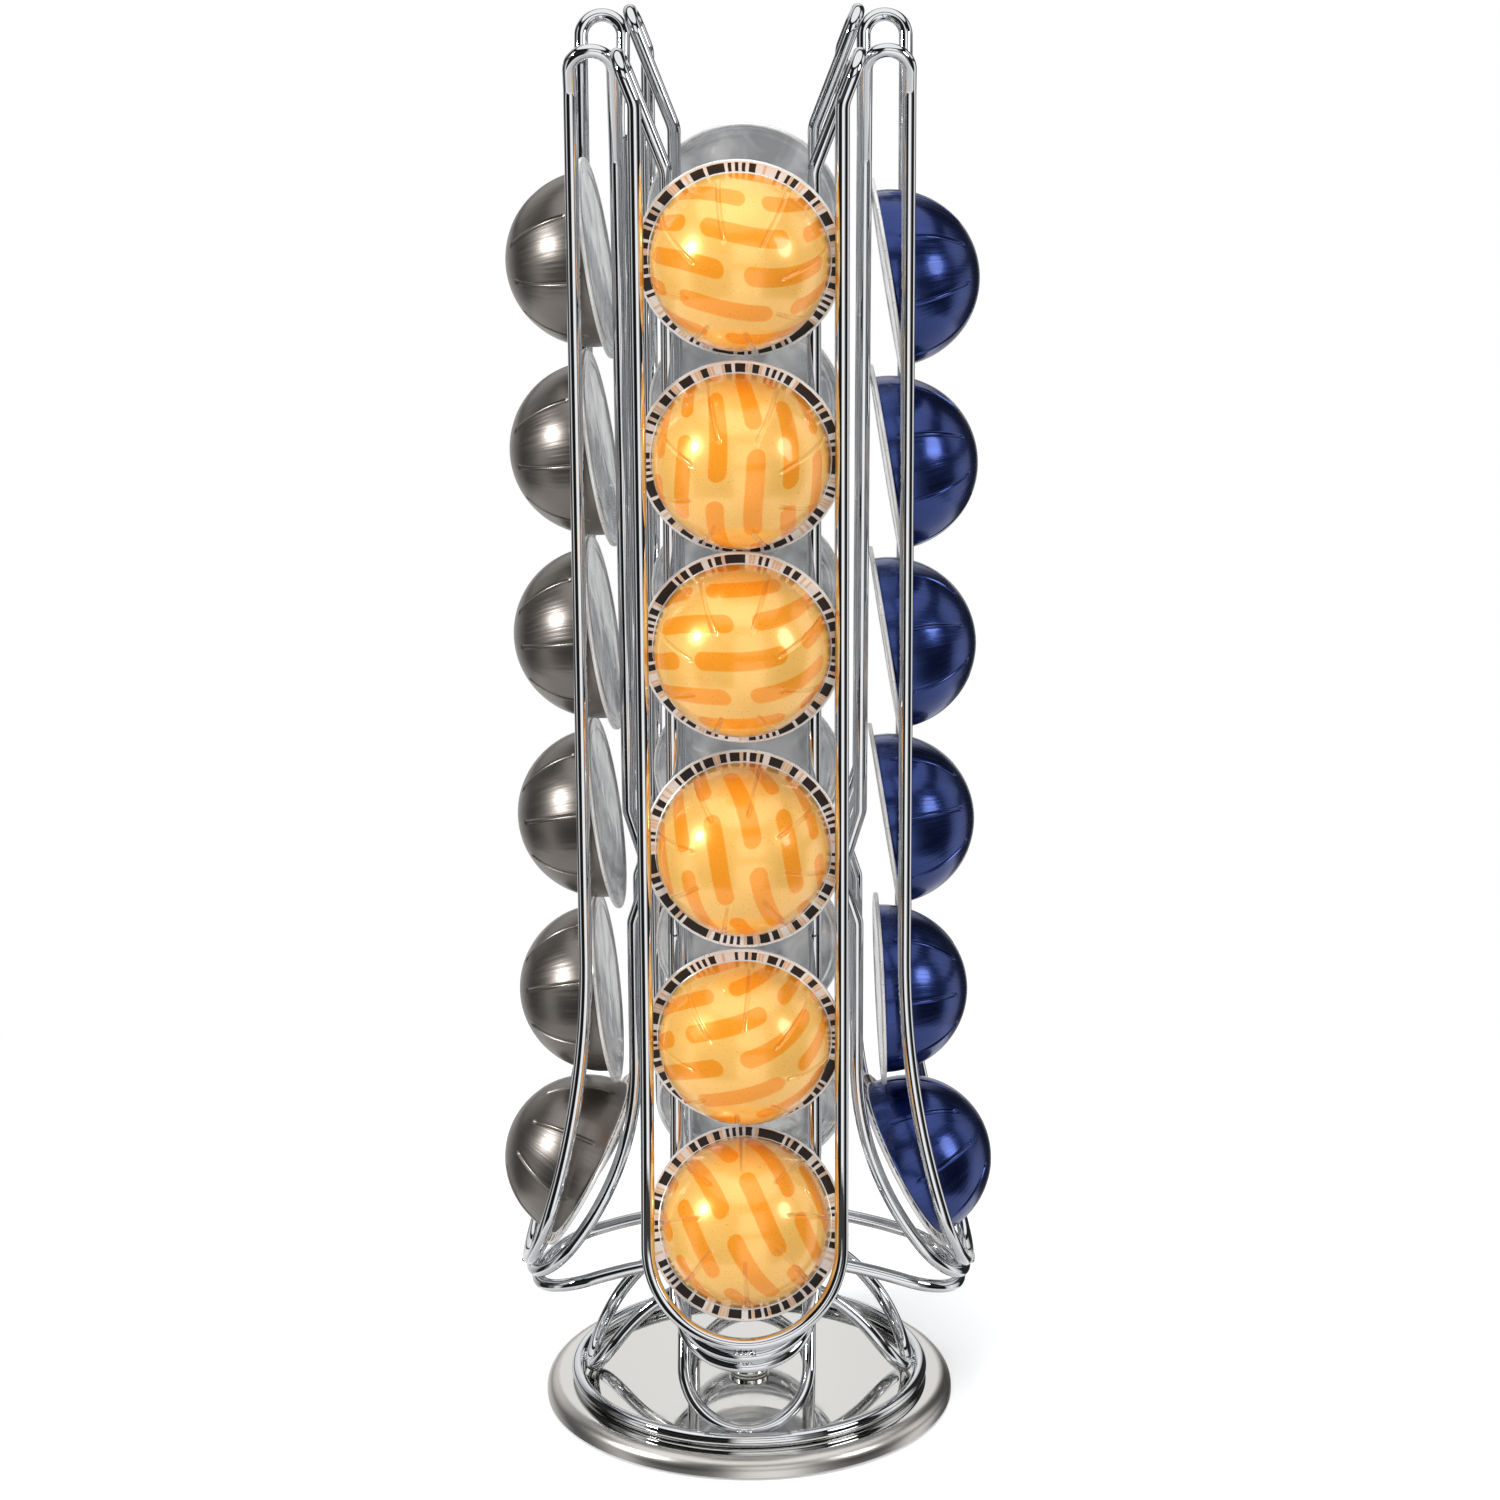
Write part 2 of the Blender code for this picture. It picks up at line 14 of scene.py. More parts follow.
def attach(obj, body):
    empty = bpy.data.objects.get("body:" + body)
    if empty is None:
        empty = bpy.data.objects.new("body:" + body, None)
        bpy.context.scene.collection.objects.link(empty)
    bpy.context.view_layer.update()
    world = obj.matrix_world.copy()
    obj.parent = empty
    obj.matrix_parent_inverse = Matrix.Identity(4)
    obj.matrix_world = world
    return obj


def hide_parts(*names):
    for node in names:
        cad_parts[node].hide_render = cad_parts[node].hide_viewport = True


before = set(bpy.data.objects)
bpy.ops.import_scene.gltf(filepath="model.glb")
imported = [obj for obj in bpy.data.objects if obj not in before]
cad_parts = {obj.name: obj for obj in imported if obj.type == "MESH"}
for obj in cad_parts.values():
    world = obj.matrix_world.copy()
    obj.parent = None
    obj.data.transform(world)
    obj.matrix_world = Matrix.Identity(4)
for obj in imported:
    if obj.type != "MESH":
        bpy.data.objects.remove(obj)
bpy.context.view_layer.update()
MM = 0.001


# Fixed foot under the pan: a foam rubber pad, a stamped zinc-plated plate, a moulded nylon glide
# ring, bush and washer. They are stacked on the pivot and hardly seen, so the solids themselves
# stay and only get their materials.
def linear(code):
    """A colour written as sRGB hex, turned to linear red, green, blue and alpha."""
    parts = [int(code[place:place + 2], 16) / 255 for place in (0, 2, 4)]
    return (*[part / 12.92 if part <= 0.04045 else ((part + 0.055) / 1.055) ** 2.4 for part in parts], 1.0)


def put(tree, kind, inputs=None, **settings):
    """Adds a node. A setting names a property; an input is a value, a socket, or a node's first output."""
    node = tree.nodes.new(kind)
    for name, value in settings.items():
        setattr(node, name, value)
    for name, value in (inputs or {}).items():
        value = value.outputs[0] if isinstance(value, bpy.types.Node) else value
        if isinstance(value, bpy.types.NodeSocket):
            tree.links.new(value, node.inputs[name])
        else:
            node.inputs[name].default_value = value
    return node


def new_material(name):
    """An empty node material, returned with its tree."""
    made = bpy.data.materials.new(name)
    made.use_nodes = True
    made.node_tree.nodes.clear()
    return made, made.node_tree


def cells(size):
    """The scale of a pattern on coordinates in metres whose features are this many millimetres across."""
    return 1 / (size * MM)


# Closed-cell rubber foam, die-cut: matt black with open pores just under a millimetre apart
PORE_PITCH, PORE_DEPTH = 0.9, 0.25
rubber, tree = new_material("foam rubber")
place = put(tree, "ShaderNodeTexCoord").outputs["Object"]
pores = put(tree, "ShaderNodeTexVoronoi", {"Vector": place, "Scale": cells(PORE_PITCH)})
shade = put(tree, "ShaderNodeMix", {
    "Factor": pores.outputs["Distance"], "A": linear("0F0F10"), "B": linear("2A2A2B")}, data_type="RGBA")
dents = put(tree, "ShaderNodeBump", {
    "Height": pores.outputs["Distance"], "Distance": PORE_DEPTH * MM, "Strength": 0.6})
body = put(tree, "ShaderNodeBsdfPrincipled", {
    "Base Color": shade.outputs["Result"], "Roughness": 0.85, "Normal": dents})
put(tree, "ShaderNodeOutputMaterial", {"Surface": body})

# Zinc-plated sheet steel: grey and faintly spangled, with crystals about 5 mm across
CRYSTAL_MM = 5
zinc_plate, tree = new_material("zinc-plated sheet steel")
place = put(tree, "ShaderNodeTexCoord").outputs["Object"]
spangle = put(tree, "ShaderNodeTexVoronoi", {"Vector": place, "Scale": cells(CRYSTAL_MM)})
shade = put(tree, "ShaderNodeMix", {
    "Factor": spangle.outputs["Color"], "A": linear("A9ABAD"), "B": linear("BEC0C2")}, data_type="RGBA")
gloss = put(tree, "ShaderNodeMapRange", {
    "Value": spangle.outputs["Distance"], "To Min": 0.30, "To Max": 0.45})
body = put(tree, "ShaderNodeBsdfPrincipled", {
    "Base Color": shade.outputs["Result"], "Metallic": 1.0, "Roughness": gloss})
put(tree, "ShaderNodeOutputMaterial", {"Surface": body})

# Moulded nylon: off-white and slightly waxy, with a fine spark-eroded texture
SPARKED_MM, SPARKED_DEPTH, WAXY_DEPTH = 0.6, 0.03, 1.5
nylon, tree = new_material("moulded nylon")
place = put(tree, "ShaderNodeTexCoord").outputs["Object"]
texture = put(tree, "ShaderNodeTexNoise", {"Vector": place, "Scale": cells(SPARKED_MM), "Detail": 3.0})
shade = put(tree, "ShaderNodeMix", {
    "Factor": texture, "A": linear("DAD8D0"), "B": linear("E9E7E0")}, data_type="RGBA")
dents = put(tree, "ShaderNodeBump", {"Height": texture, "Distance": SPARKED_DEPTH * MM, "Strength": 0.5})
body = put(tree, "ShaderNodeBsdfPrincipled", {
    "Base Color": shade.outputs["Result"], "Roughness": 0.42, "Subsurface Weight": 0.1,
    "Subsurface Scale": WAXY_DEPTH * MM, "Normal": dents})
put(tree, "ShaderNodeOutputMaterial", {"Surface": body})

FOOT_FINISHES = {"anti_slip_pad": rubber, "bearing_plate": zinc_plate, "glide_ring": nylon,
                 "pivot_bush": nylon, "pivot_washer": nylon}
for node, material in FOOT_FINISHES.items():
    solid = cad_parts[node]
    solid.data.materials.clear()
    solid.data.materials.append(material)


# Turning pan and its rivet: one disc of stainless sheet, pressed so that its edge rolls over, its
# top polished to a mirror and its rolled edge left satin from the tumbling drum. A low round-headed
# rivet through the middle holds it down on the fixed foot.
PAN_R, PAN_TOP, PAN_SHEET, PAN_EDGE_R, PAN_RIM_Z, PAN_BORE_R = 68.5, 7.2, 1.0, 4.6, 1.2, 3.3
RIVET_HEAD_R, RIVET_HEAD_BOTTOM, RIVET_HEAD_TOP, RIVET_EDGE_R, RIVET_SHANK_R = 6.75, 8.4, 11.0, 1.3, 3.0
RIVET_TAIL_R, RIVET_TAIL_TOP, RIVET_TAIL_HEIGHT = 5.5, 1.5, 0.9
PAN_FLAT_START = RIVET_HEAD_R + 2
TURNED_STEPS, EDGE_STEPS, TURNED_SHARP = 192, 14, 40


def arc(centre, radius, start, end, steps):
    """Points of an arc in a plane, both ends included, angles in degrees."""
    turns = [math.radians(start + (end - start) * step / steps) for step in range(steps + 1)]
    return [(centre[0] + radius * math.cos(turn), centre[1] + radius * math.sin(turn)) for turn in turns]


def turned(name, profile, material, closed):
    """A piece turned about Z, from a profile in millimetres that runs out over its top first."""
    turns = [math.tau * step / TURNED_STEPS for step in range(TURNED_STEPS)]
    points, rows = [], []
    for radius, height in profile:
        spots = [(radius * math.cos(turn), radius * math.sin(turn), height) for turn in turns]
        spots = spots if radius > 0 else spots[:1]
        rows.append([len(points) + step % len(spots) for step in range(TURNED_STEPS + 1)])
        points += spots
    faces = []
    for near, far in zip(rows, rows[1:] + ([rows[0]] if closed else [])):
        for step in range(TURNED_STEPS):
            corners = (near[step], far[step], far[step + 1], near[step + 1])
            faces.append(list(dict.fromkeys(corners)))
    mesh = bpy.data.meshes.new(name)
    mesh.from_pydata([Vector(point) * MM for point in points], [], faces)
    mesh.shade_smooth()
    mesh.set_sharp_from_angle(angle=math.radians(TURNED_SHARP))
    mesh.materials.append(material)
    made = bpy.data.objects.new(name, mesh)
    bpy.context.scene.collection.objects.link(made)
    return made


# Stainless sheet, mirror-polished: nearly colourless, with hairlines left by wiping cloths. The
# rolled edge beyond the flat keeps the satin of the drum, with a fine grain half a millimetre across.
SATIN_START, SATIN_FULL = PAN_R - PAN_EDGE_R - 0.2, PAN_R - PAN_EDGE_R + 1.0
WIPED_MM, GRAIN_MM, GRAIN_DEPTH = 6, 0.5, 0.01
polished_steel, tree = new_material("polished stainless sheet")
place = put(tree, "ShaderNodeTexCoord").outputs["Object"]
parts = put(tree, "ShaderNodeSeparateXYZ", {"Vector": place})
across = put(tree, "ShaderNodeMath", {0: parts.outputs["X"], 1: parts.outputs["X"]}, operation="MULTIPLY")
along = put(tree, "ShaderNodeMath", {
    0: parts.outputs["Y"], 1: parts.outputs["Y"], 2: across}, operation="MULTIPLY_ADD")
radius = put(tree, "ShaderNodeMath", {0: along}, operation="SQRT")
satin = put(tree, "ShaderNodeMapRange", {
    "Value": radius, "From Min": SATIN_START * MM, "From Max": SATIN_FULL * MM})
hairlines = put(tree, "ShaderNodeTexNoise", {
    "Vector": place, "Scale": cells(WIPED_MM), "Detail": 5.0, "Distortion": 0.4})
grain = put(tree, "ShaderNodeTexNoise", {"Vector": place, "Scale": cells(GRAIN_MM), "Detail": 4.0})
mirror = put(tree, "ShaderNodeMapRange", {
    "Value": hairlines, "From Min": 0.4, "From Max": 0.75, "To Min": 0.03, "To Max": 0.09})
tumbled = put(tree, "ShaderNodeMapRange", {"Value": grain, "To Min": 0.26, "To Max": 0.36})
gloss = put(tree, "ShaderNodeMix", {"Factor": satin, "A": mirror, "B": tumbled})
shade = put(tree, "ShaderNodeMix", {
    "Factor": satin, "A": linear("E6E5E1"), "B": linear("E3DFDA")}, data_type="RGBA")
dents = put(tree, "ShaderNodeBump", {"Height": grain, "Distance": GRAIN_DEPTH * MM, "Strength": satin})
body = put(tree, "ShaderNodeBsdfPrincipled", {
    "Base Color": shade.outputs["Result"], "Metallic": 1.0, "Roughness": gloss, "Normal": dents})
put(tree, "ShaderNodeOutputMaterial", {"Surface": body})

edge = (PAN_R - PAN_EDGE_R, PAN_TOP - PAN_EDGE_R)
profile = [(PAN_BORE_R, PAN_TOP), (PAN_FLAT_START, PAN_TOP)] + arc(edge, PAN_EDGE_R, 90, 0, EDGE_STEPS)
profile += [(PAN_R, PAN_RIM_Z), (PAN_R - PAN_SHEET, PAN_RIM_Z)]
profile += arc(edge, PAN_EDGE_R - PAN_SHEET, 0, 90, EDGE_STEPS) + [(PAN_BORE_R, PAN_TOP - PAN_SHEET)]
pan = turned("pressed_pan", profile, polished_steel, True)
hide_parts("turntable_pan")
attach(pan, "carousel")

edge = (RIVET_HEAD_R - RIVET_EDGE_R, RIVET_HEAD_TOP - RIVET_EDGE_R)
profile = [(0.0, RIVET_HEAD_TOP)] + arc(edge, RIVET_EDGE_R, 90, 0, EDGE_STEPS)
profile += [(RIVET_HEAD_R, RIVET_HEAD_BOTTOM), (RIVET_SHANK_R, RIVET_HEAD_BOTTOM)]
profile += [(RIVET_SHANK_R, RIVET_TAIL_TOP), (RIVET_TAIL_R, RIVET_TAIL_TOP)]
profile.append((RIVET_TAIL_R, RIVET_TAIL_TOP - RIVET_TAIL_HEIGHT))
profile.append((0.0, RIVET_TAIL_TOP - RIVET_TAIL_HEIGHT))
rivet = turned("round_head_rivet", profile, polished_steel, False)
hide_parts("pivot_rivet")
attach(rivet, "foot")


# Foot ring, leg loops and cradles: round mild steel wire, drawn, bent on a former and closed by a
# butt weld, then spot-welded where the loops cross and where their ends meet, and nickel-chrome
# plated as one cage. Each loop is one piece swept along its own bent line.
WIRE_D = 4.4
# From the middle of one wire to the middle of the next that it is welded to
WELD_STEP = 4.7
RING_REACH, RING_Z = 57.9, 9.7
LOOP_SPREAD = 20.5
LEG_TIP = (RING_REACH - WELD_STEP, 11.2)
OUTER_TIP = (73.6, 51.4)
OUTER_LEAN, INNER_TIP_LEAN = 13.3, 21.0
LOWEST_CROSSING_Z, CROSSING_STEP = 47.0, 5.0
LEG_ARCH, CRADLE_ARCH = 2.75, 2.0
ARCH_STEPS, LOOP_BEND_STEPS, LOOP_LEG_STEPS, RING_STEPS = 400, 40, 60, 180
WIRE_SIDES = 20


def step_below(tip, lean):
    """The tip of the next wire down in the stack that is welded under a column, lean in degrees."""
    turn = math.radians(lean)
    return (tip[0] - WELD_STEP * math.sin(turn), tip[1] - WELD_STEP * math.cos(turn))


INNER_TIP = step_below(OUTER_TIP, OUTER_LEAN)
CRADLE_TIP = step_below(INNER_TIP, INNER_TIP_LEAN)

# Bright chrome over nickel on drawn steel wire: a slightly blue mirror. The plating follows the
# drawn surface, so reflections waver every few millimetres, and handling leaves faint dull patches.
WAVER_MM, WAVER_DEPTH, HANDLED_MM = 7, 0.06, 22
chrome, tree = new_material("bright chrome plate")
place = put(tree, "ShaderNodeTexCoord").outputs["Object"]
waver = put(tree, "ShaderNodeTexNoise", {"Vector": place, "Scale": cells(WAVER_MM), "Detail": 2.0})
patches = put(tree, "ShaderNodeTexNoise", {"Vector": place, "Scale": cells(HANDLED_MM), "Detail": 3.0})
gloss = put(tree, "ShaderNodeMapRange", {
    "Value": patches, "From Min": 0.35, "From Max": 0.8, "To Min": 0.01, "To Max": 0.045})
shade = put(tree, "ShaderNodeMix", {
    "Factor": patches, "A": linear("EDEEF0"), "B": linear("E3E5E8")}, data_type="RGBA")
dents = put(tree, "ShaderNodeBump", {"Height": waver, "Distance": WAVER_DEPTH * MM, "Strength": 0.35})
body = put(tree, "ShaderNodeBsdfPrincipled", {
    "Base Color": shade.outputs["Result"], "Metallic": 1.0, "Roughness": gloss, "Normal": dents})
put(tree, "ShaderNodeOutputMaterial", {"Surface": body})


def shape_tree(name, sizes, result):
    """An empty Geometry Nodes tree with named inputs, returned with the sockets they give inside."""
    tree = bpy.data.node_groups.new(name, "GeometryNodeTree")
    for label, kind in sizes.items():
        tree.interface.new_socket(label, in_out="INPUT", socket_type="NodeSocket" + kind)
    tree.interface.new_socket(result, in_out="OUTPUT", socket_type="NodeSocketGeometry")
    return tree, put(tree, "NodeGroupInput").outputs


# The sweep: a line of points becomes a curve, and a round section of the wire's diameter runs along it
sweep, given = shape_tree("bent wire", {
    "Line": "Geometry", "Wire Diameter": "Float", "Sides": "Int", "Finish": "Material"}, "Wire")
half = put(sweep, "ShaderNodeMath", {0: given["Wire Diameter"], 1: 0.5}, operation="MULTIPLY")
section = put(sweep, "GeometryNodeCurvePrimitiveCircle", {"Resolution": given["Sides"], "Radius": half})
line = put(sweep, "GeometryNodeMeshToCurve", {"Mesh": given["Line"]})
tube = put(sweep, "GeometryNodeCurveToMesh", {"Curve": line, "Profile Curve": section, "Fill Caps": True})
smooth = put(sweep, "GeometryNodeSetShadeSmooth", {"Geometry": tube})
real = put(sweep, "GeometryNodeRealizeInstances", {"Geometry": smooth})
dressed = put(sweep, "GeometryNodeSetMaterial", {"Geometry": real, "Material": given["Finish"]})
put(sweep, "NodeGroupOutput", {"Wire": dressed})


def made_by_nodes(name, points, edges, tree, values):
    """Runs a node tree on a few points in millimetres and keeps its result as a plain mesh."""
    line = bpy.data.meshes.new(name + "_line")
    line.from_pydata([Vector(point) * MM for point in points], edges, [])
    maker = bpy.data.objects.new(name + "_maker", line)
    bpy.context.scene.collection.objects.link(maker)
    modifier = maker.modifiers.new("maker", "NODES")
    modifier.node_group = tree
    identifiers = {socket.name: socket.identifier for socket in tree.interface.items_tree}
    for label, value in values.items():
        modifier[identifiers[label]] = value
    maker.update_tag()
    bpy.context.view_layer.update()
    mesh = bpy.data.meshes.new_from_object(maker.evaluated_get(bpy.context.evaluated_depsgraph_get()))
    mesh.name = name
    bpy.data.objects.remove(maker)
    bpy.data.meshes.remove(line)
    made = bpy.data.objects.new(name, mesh)
    bpy.context.scene.collection.objects.link(made)
    return made


def bent_wire(name, points):
    """A closed wire along a line of points, as one mesh."""
    count = len(points)
    edges = [(step, (step + 1) % count) for step in range(count)]
    values = {"Wire Diameter": WIRE_D * MM, "Sides": WIRE_SIDES, "Finish": chrome}
    return made_by_nodes(name, points, edges, sweep, values)


def loop_line(tip, crossing_z, power):
    """A racetrack loop, bent over an arch that spans the rack, so that it crosses its partner."""
    span = tip[0] ** power - LOOP_SPREAD ** power

    def on_arch(reach):
        """A point of the arch, this far out from the spin axis."""
        climb = (tip[1] - crossing_z) * (reach ** power - LOOP_SPREAD ** power) / span
        return Vector((reach, crossing_z + climb))

    arch = [on_arch(tip[0] * step / ARCH_STEPS) for step in range(ARCH_STEPS + 1)]
    lengths = [0.0]
    for near, far in zip(arch, arch[1:]):
        lengths.append(lengths[-1] + (far - near).length)

    def reach_at(length):
        """How far out the arch is after a length of wire from its middle."""
        after = min(bisect.bisect_left(lengths, length), ARCH_STEPS)
        before = max(after - 1, 0)
        share = (length - lengths[before]) / max(lengths[after] - lengths[before], 1e-9)
        return arch[before].x + (arch[after].x - arch[before].x) * share

    straight = lengths[-1] - LOOP_SPREAD
    bend = arc((0.0, 0.0), LOOP_SPREAD, -90, 90, LOOP_BEND_STEPS)
    plan = [(reach_at(straight + ahead), aside) for ahead, aside in bend]
    leg = plan[-1][0]
    plan += [(leg - 2 * leg * step / LOOP_LEG_STEPS, LOOP_SPREAD) for step in range(1, LOOP_LEG_STEPS)]
    plan += [(-along, -across) for along, across in plan]
    return [Vector((along, across, on_arch(abs(along)).y)) for along, across in plan]


# Each loop's tip, its place in the stack of crossings, the power of its arch and its turn in degrees
LOOPS = {
    "leg_loop_left_right": (LEG_TIP, 0, LEG_ARCH, 0),
    "leg_loop_front_rear": (LEG_TIP, 1, LEG_ARCH, 90),
    "cradle_left_right": (CRADLE_TIP, 2, CRADLE_ARCH, 0),
    "cradle_front_rear": (CRADLE_TIP, 3, CRADLE_ARCH, 90),
}
for node, (tip, layer, power, turn) in LOOPS.items():
    level = LOWEST_CROSSING_Z + CROSSING_STEP * layer
    spin = Matrix.Rotation(math.radians(turn), 3, "Z")
    loop = bent_wire("plated_" + node, [spin @ point for point in loop_line(tip, level, power)])
    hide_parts(node)
    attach(loop, "carousel")

ring_plan = arc((0, 0), RING_REACH, 0, 360, RING_STEPS)[:-1]
ring = bent_wire("plated_foot_ring", [(*spot, RING_Z) for spot in ring_plan])
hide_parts("foot_ring")
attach(ring, "carousel")


# Column wires: each column is one closed length of the same wire. It runs down the outer rails and
# round the flared U, and over the two loading hooks to the inner rails, which are waisted near the
# foot and end in a U of their own. It is bent on a former, butt-welded and plated with the cage.
OUTER_REACH, OUTER_SPREAD = 51.3, 31.1
INNER_REACH, INNER_SPREAD, INNER_LEAN = 38.0, 22.4, 1.0
HOOK_BEND_Z, HOOK_MIDDLE_Z, HOOK_MIDDLE_SPREAD, HOOK_BEND_R = 424.5, 454.3, 33.899, 9.0
OUTER_FLARE_Z, INNER_FLARE_Z = 169.0, 128.0
# How far the inner rail is set in at each height of its waist
WAIST = [(0.0, 215.0), (5.2, 198.0), (5.2, 190.0), (1.0, 177.0)]
WAIST_BEND_R = 6.0
BEND_STEP, FLARE_STEPS = 5, 24
TURNS = {"front": -90, "right": 0, "back": 90, "left": 180}


def fillet(before, corner, after, radius):
    """Points of the bend that replaces a corner between two straight runs."""
    inward, outward = (before - corner).normalized(), (after - corner).normalized()
    half = inward.angle(outward) / 2
    middle = corner + (inward + outward).normalized() * (radius / math.sin(half))
    first = corner + inward * (radius / math.tan(half)) - middle
    last = corner + outward * (radius / math.tan(half)) - middle
    steps = max(2, round(math.degrees(first.angle(last)) / BEND_STEP))
    return [middle + first.slerp(last, step / steps).normalized() * radius for step in range(steps + 1)]


def bent_run(corners, radii):
    """A run through corners, each inner one bent to its radius, ending where the next run begins."""
    points = []
    for before, corner, after, radius in zip(corners, corners[1:], corners[2:], radii):
        points += fillet(before, corner, after, radius)
    return points


def flared_foot(reach, top_z, tip, spread):
    """Half of a column's U: down the flare from the upright rail and round to the middle plane."""
    sweep_angle = 2 * math.atan2(tip[0] - reach, top_z - tip[1])
    radius = (top_z - tip[1]) / math.sin(sweep_angle)
    length = radius * sweep_angle

    def on_flare(along, across):
        """A point of the flared sheet on which the U lies, this far down and to the side."""
        turn = along / radius
        return Vector((reach + radius * (1 - math.cos(turn)), across, top_z - radius * math.sin(turn)))

    start = length - spread
    down = [on_flare(start * step / FLARE_STEPS, spread) for step in range(FLARE_STEPS)]
    turns = [math.pi / 2 * step / FLARE_STEPS for step in range(FLARE_STEPS + 1)]
    return down + [on_flare(start + spread * math.sin(turn), spread * math.cos(turn)) for turn in turns]


def column_line():
    """The whole closed line of a column's wire, in the column's own frame."""
    lean = math.atan2(HOOK_MIDDLE_SPREAD - INNER_SPREAD, HOOK_MIDDLE_Z - HOOK_BEND_Z)
    hook_r = (OUTER_REACH - INNER_REACH) / 2
    crown_climb = (HOOK_MIDDLE_Z - HOOK_BEND_Z) / math.cos(lean) + hook_r

    def hook(reach, climb):
        """A point of the leaning hook, this far out and this far up along its lean."""
        return Vector((reach, INNER_SPREAD + climb * math.sin(lean), HOOK_BEND_Z + climb * math.cos(lean)))

    middle = hook(INNER_REACH + hook_r, crown_climb)
    outer_top, inner_top = hook(OUTER_REACH, crown_climb), hook(INNER_REACH, crown_climb)
    outer_foot = flared_foot(OUTER_REACH, OUTER_FLARE_Z, OUTER_TIP, OUTER_SPREAD)
    bend = hook(OUTER_REACH, (OUTER_SPREAD - INNER_SPREAD) / math.sin(lean))
    outer = bent_run([middle, outer_top, bend, outer_foot[0]], [hook_r, HOOK_BEND_R]) + outer_foot
    upright = INNER_REACH - INNER_LEAN
    inner_foot = flared_foot(upright - WAIST[-1][0], INNER_FLARE_Z, INNER_TIP, INNER_SPREAD)
    corners = [middle, inner_top, hook(INNER_REACH, 0.0)]
    corners += [Vector((upright - inset, INNER_SPREAD, height)) for inset, height in WAIST] + [inner_foot[0]]
    inner = bent_run(corners, [hook_r, HOOK_BEND_R] + [WAIST_BEND_R] * len(WAIST)) + inner_foot
    far_outer = [Vector((point.x, -point.y, point.z)) for point in reversed(outer[:-1])]
    far_inner = [Vector((point.x, -point.y, point.z)) for point in inner[1:-1]]
    return outer + far_outer + far_inner + list(reversed(inner[1:]))


for column, turn in TURNS.items():
    spin = Matrix.Rotation(math.radians(turn), 3, "Z")
    rails = bent_wire("rails_" + column, [spin @ point for point in column_line()])
    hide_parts("outer_wire_" + column, "inner_wire_" + column)
    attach(rails, "carousel")


# Weld beads: where wires lie on each other they are spot-welded, and the chrome runs over the small
# frozen drops that squeeze out. Each bead is a lumpy drop about 2 mm across.
BEAD_D, LUMP_HEIGHT, LUMP_MM, BEAD_SEED = 2.0, 0.5, 1.6, 7
beads, given = shape_tree("weld beads", {
    "Places": "Geometry", "Bead Size": "Float", "Lump Height": "Float", "Seed": "Int",
    "Finish": "Material"}, "Beads")
half = put(beads, "ShaderNodeMath", {0: given["Bead Size"], 1: 0.5}, operation="MULTIPLY")
drop = put(beads, "GeometryNodeMeshIcoSphere", {"Radius": half, "Subdivisions": 4})
size = put(beads, "FunctionNodeRandomValue", {
    "Min": (0.7, 0.7, 0.7), "Max": (1.25, 1.25, 1.0), "Seed": given["Seed"]}, data_type="FLOAT_VECTOR")
placed = put(beads, "GeometryNodeInstanceOnPoints", {
    "Points": given["Places"], "Instance": drop, "Scale": size.outputs["Value"]})
real = put(beads, "GeometryNodeRealizeInstances", {"Geometry": placed})
lumps = put(beads, "ShaderNodeTexNoise", {"Scale": cells(LUMP_MM), "Detail": 1.0})
centred = put(beads, "ShaderNodeMath", {0: lumps, 1: 0.5}, operation="SUBTRACT")
height = put(beads, "ShaderNodeMath", {0: centred, 1: given["Lump Height"]}, operation="MULTIPLY")
outward = put(beads, "GeometryNodeInputNormal")
offset = put(beads, "ShaderNodeVectorMath", {0: outward, "Scale": height}, operation="SCALE")
lumpy = put(beads, "GeometryNodeSetPosition", {"Geometry": real, "Offset": offset})
smooth = put(beads, "GeometryNodeSetShadeSmooth", {"Geometry": lumpy})
dressed = put(beads, "GeometryNodeSetMaterial", {"Geometry": smooth, "Material": given["Finish"]})
put(beads, "NodeGroupOutput", {"Beads": dressed})

# Four beads stand outside the joint of the two U ends, two outside the cradle, two on the foot ring
# and one in each corner where loops cross; each list is how far they are from the column's middle
TIP_BEADS, CRADLE_BEADS, RING_BEADS = (-2.6, -1.0, 0.9, 2.7), (-1.5, 1.4), (-2.4, 1.0)
TIP_BEAD_OUT, TIP_BEAD_DOWN, CRADLE_BEAD_OUT, RING_BEAD_UP = 1.9, 0.3, 0.9, 1.8
CORNER_BEAD, CORNER_BEAD_UP = LOOP_SPREAD - 1.6, 2.4
tip_reach = (OUTER_TIP[0] + INNER_TIP[0]) / 2 + TIP_BEAD_OUT
tip_level = (OUTER_TIP[1] + INNER_TIP[1]) / 2 - TIP_BEAD_DOWN
cradle_reach = (INNER_TIP[0] + CRADLE_TIP[0]) / 2 + CRADLE_BEAD_OUT
cradle_level = (INNER_TIP[1] + CRADLE_TIP[1]) / 2
spots = []
for turn in TURNS.values():
    spin = Matrix.Rotation(math.radians(turn), 3, "Z")
    places = [(tip_reach, across, tip_level) for across in TIP_BEADS]
    places += [(cradle_reach, across, cradle_level) for across in CRADLE_BEADS]
    places += [(RING_REACH - WELD_STEP / 2, across, RING_Z + RING_BEAD_UP) for across in RING_BEADS]
    for layer in range(len(LOOPS) - 1):
        crossing = LOWEST_CROSSING_Z + CROSSING_STEP * layer
        places.append((CORNER_BEAD, CORNER_BEAD, crossing + CORNER_BEAD_UP))
    spots += [spin @ Vector(spot) for spot in places]
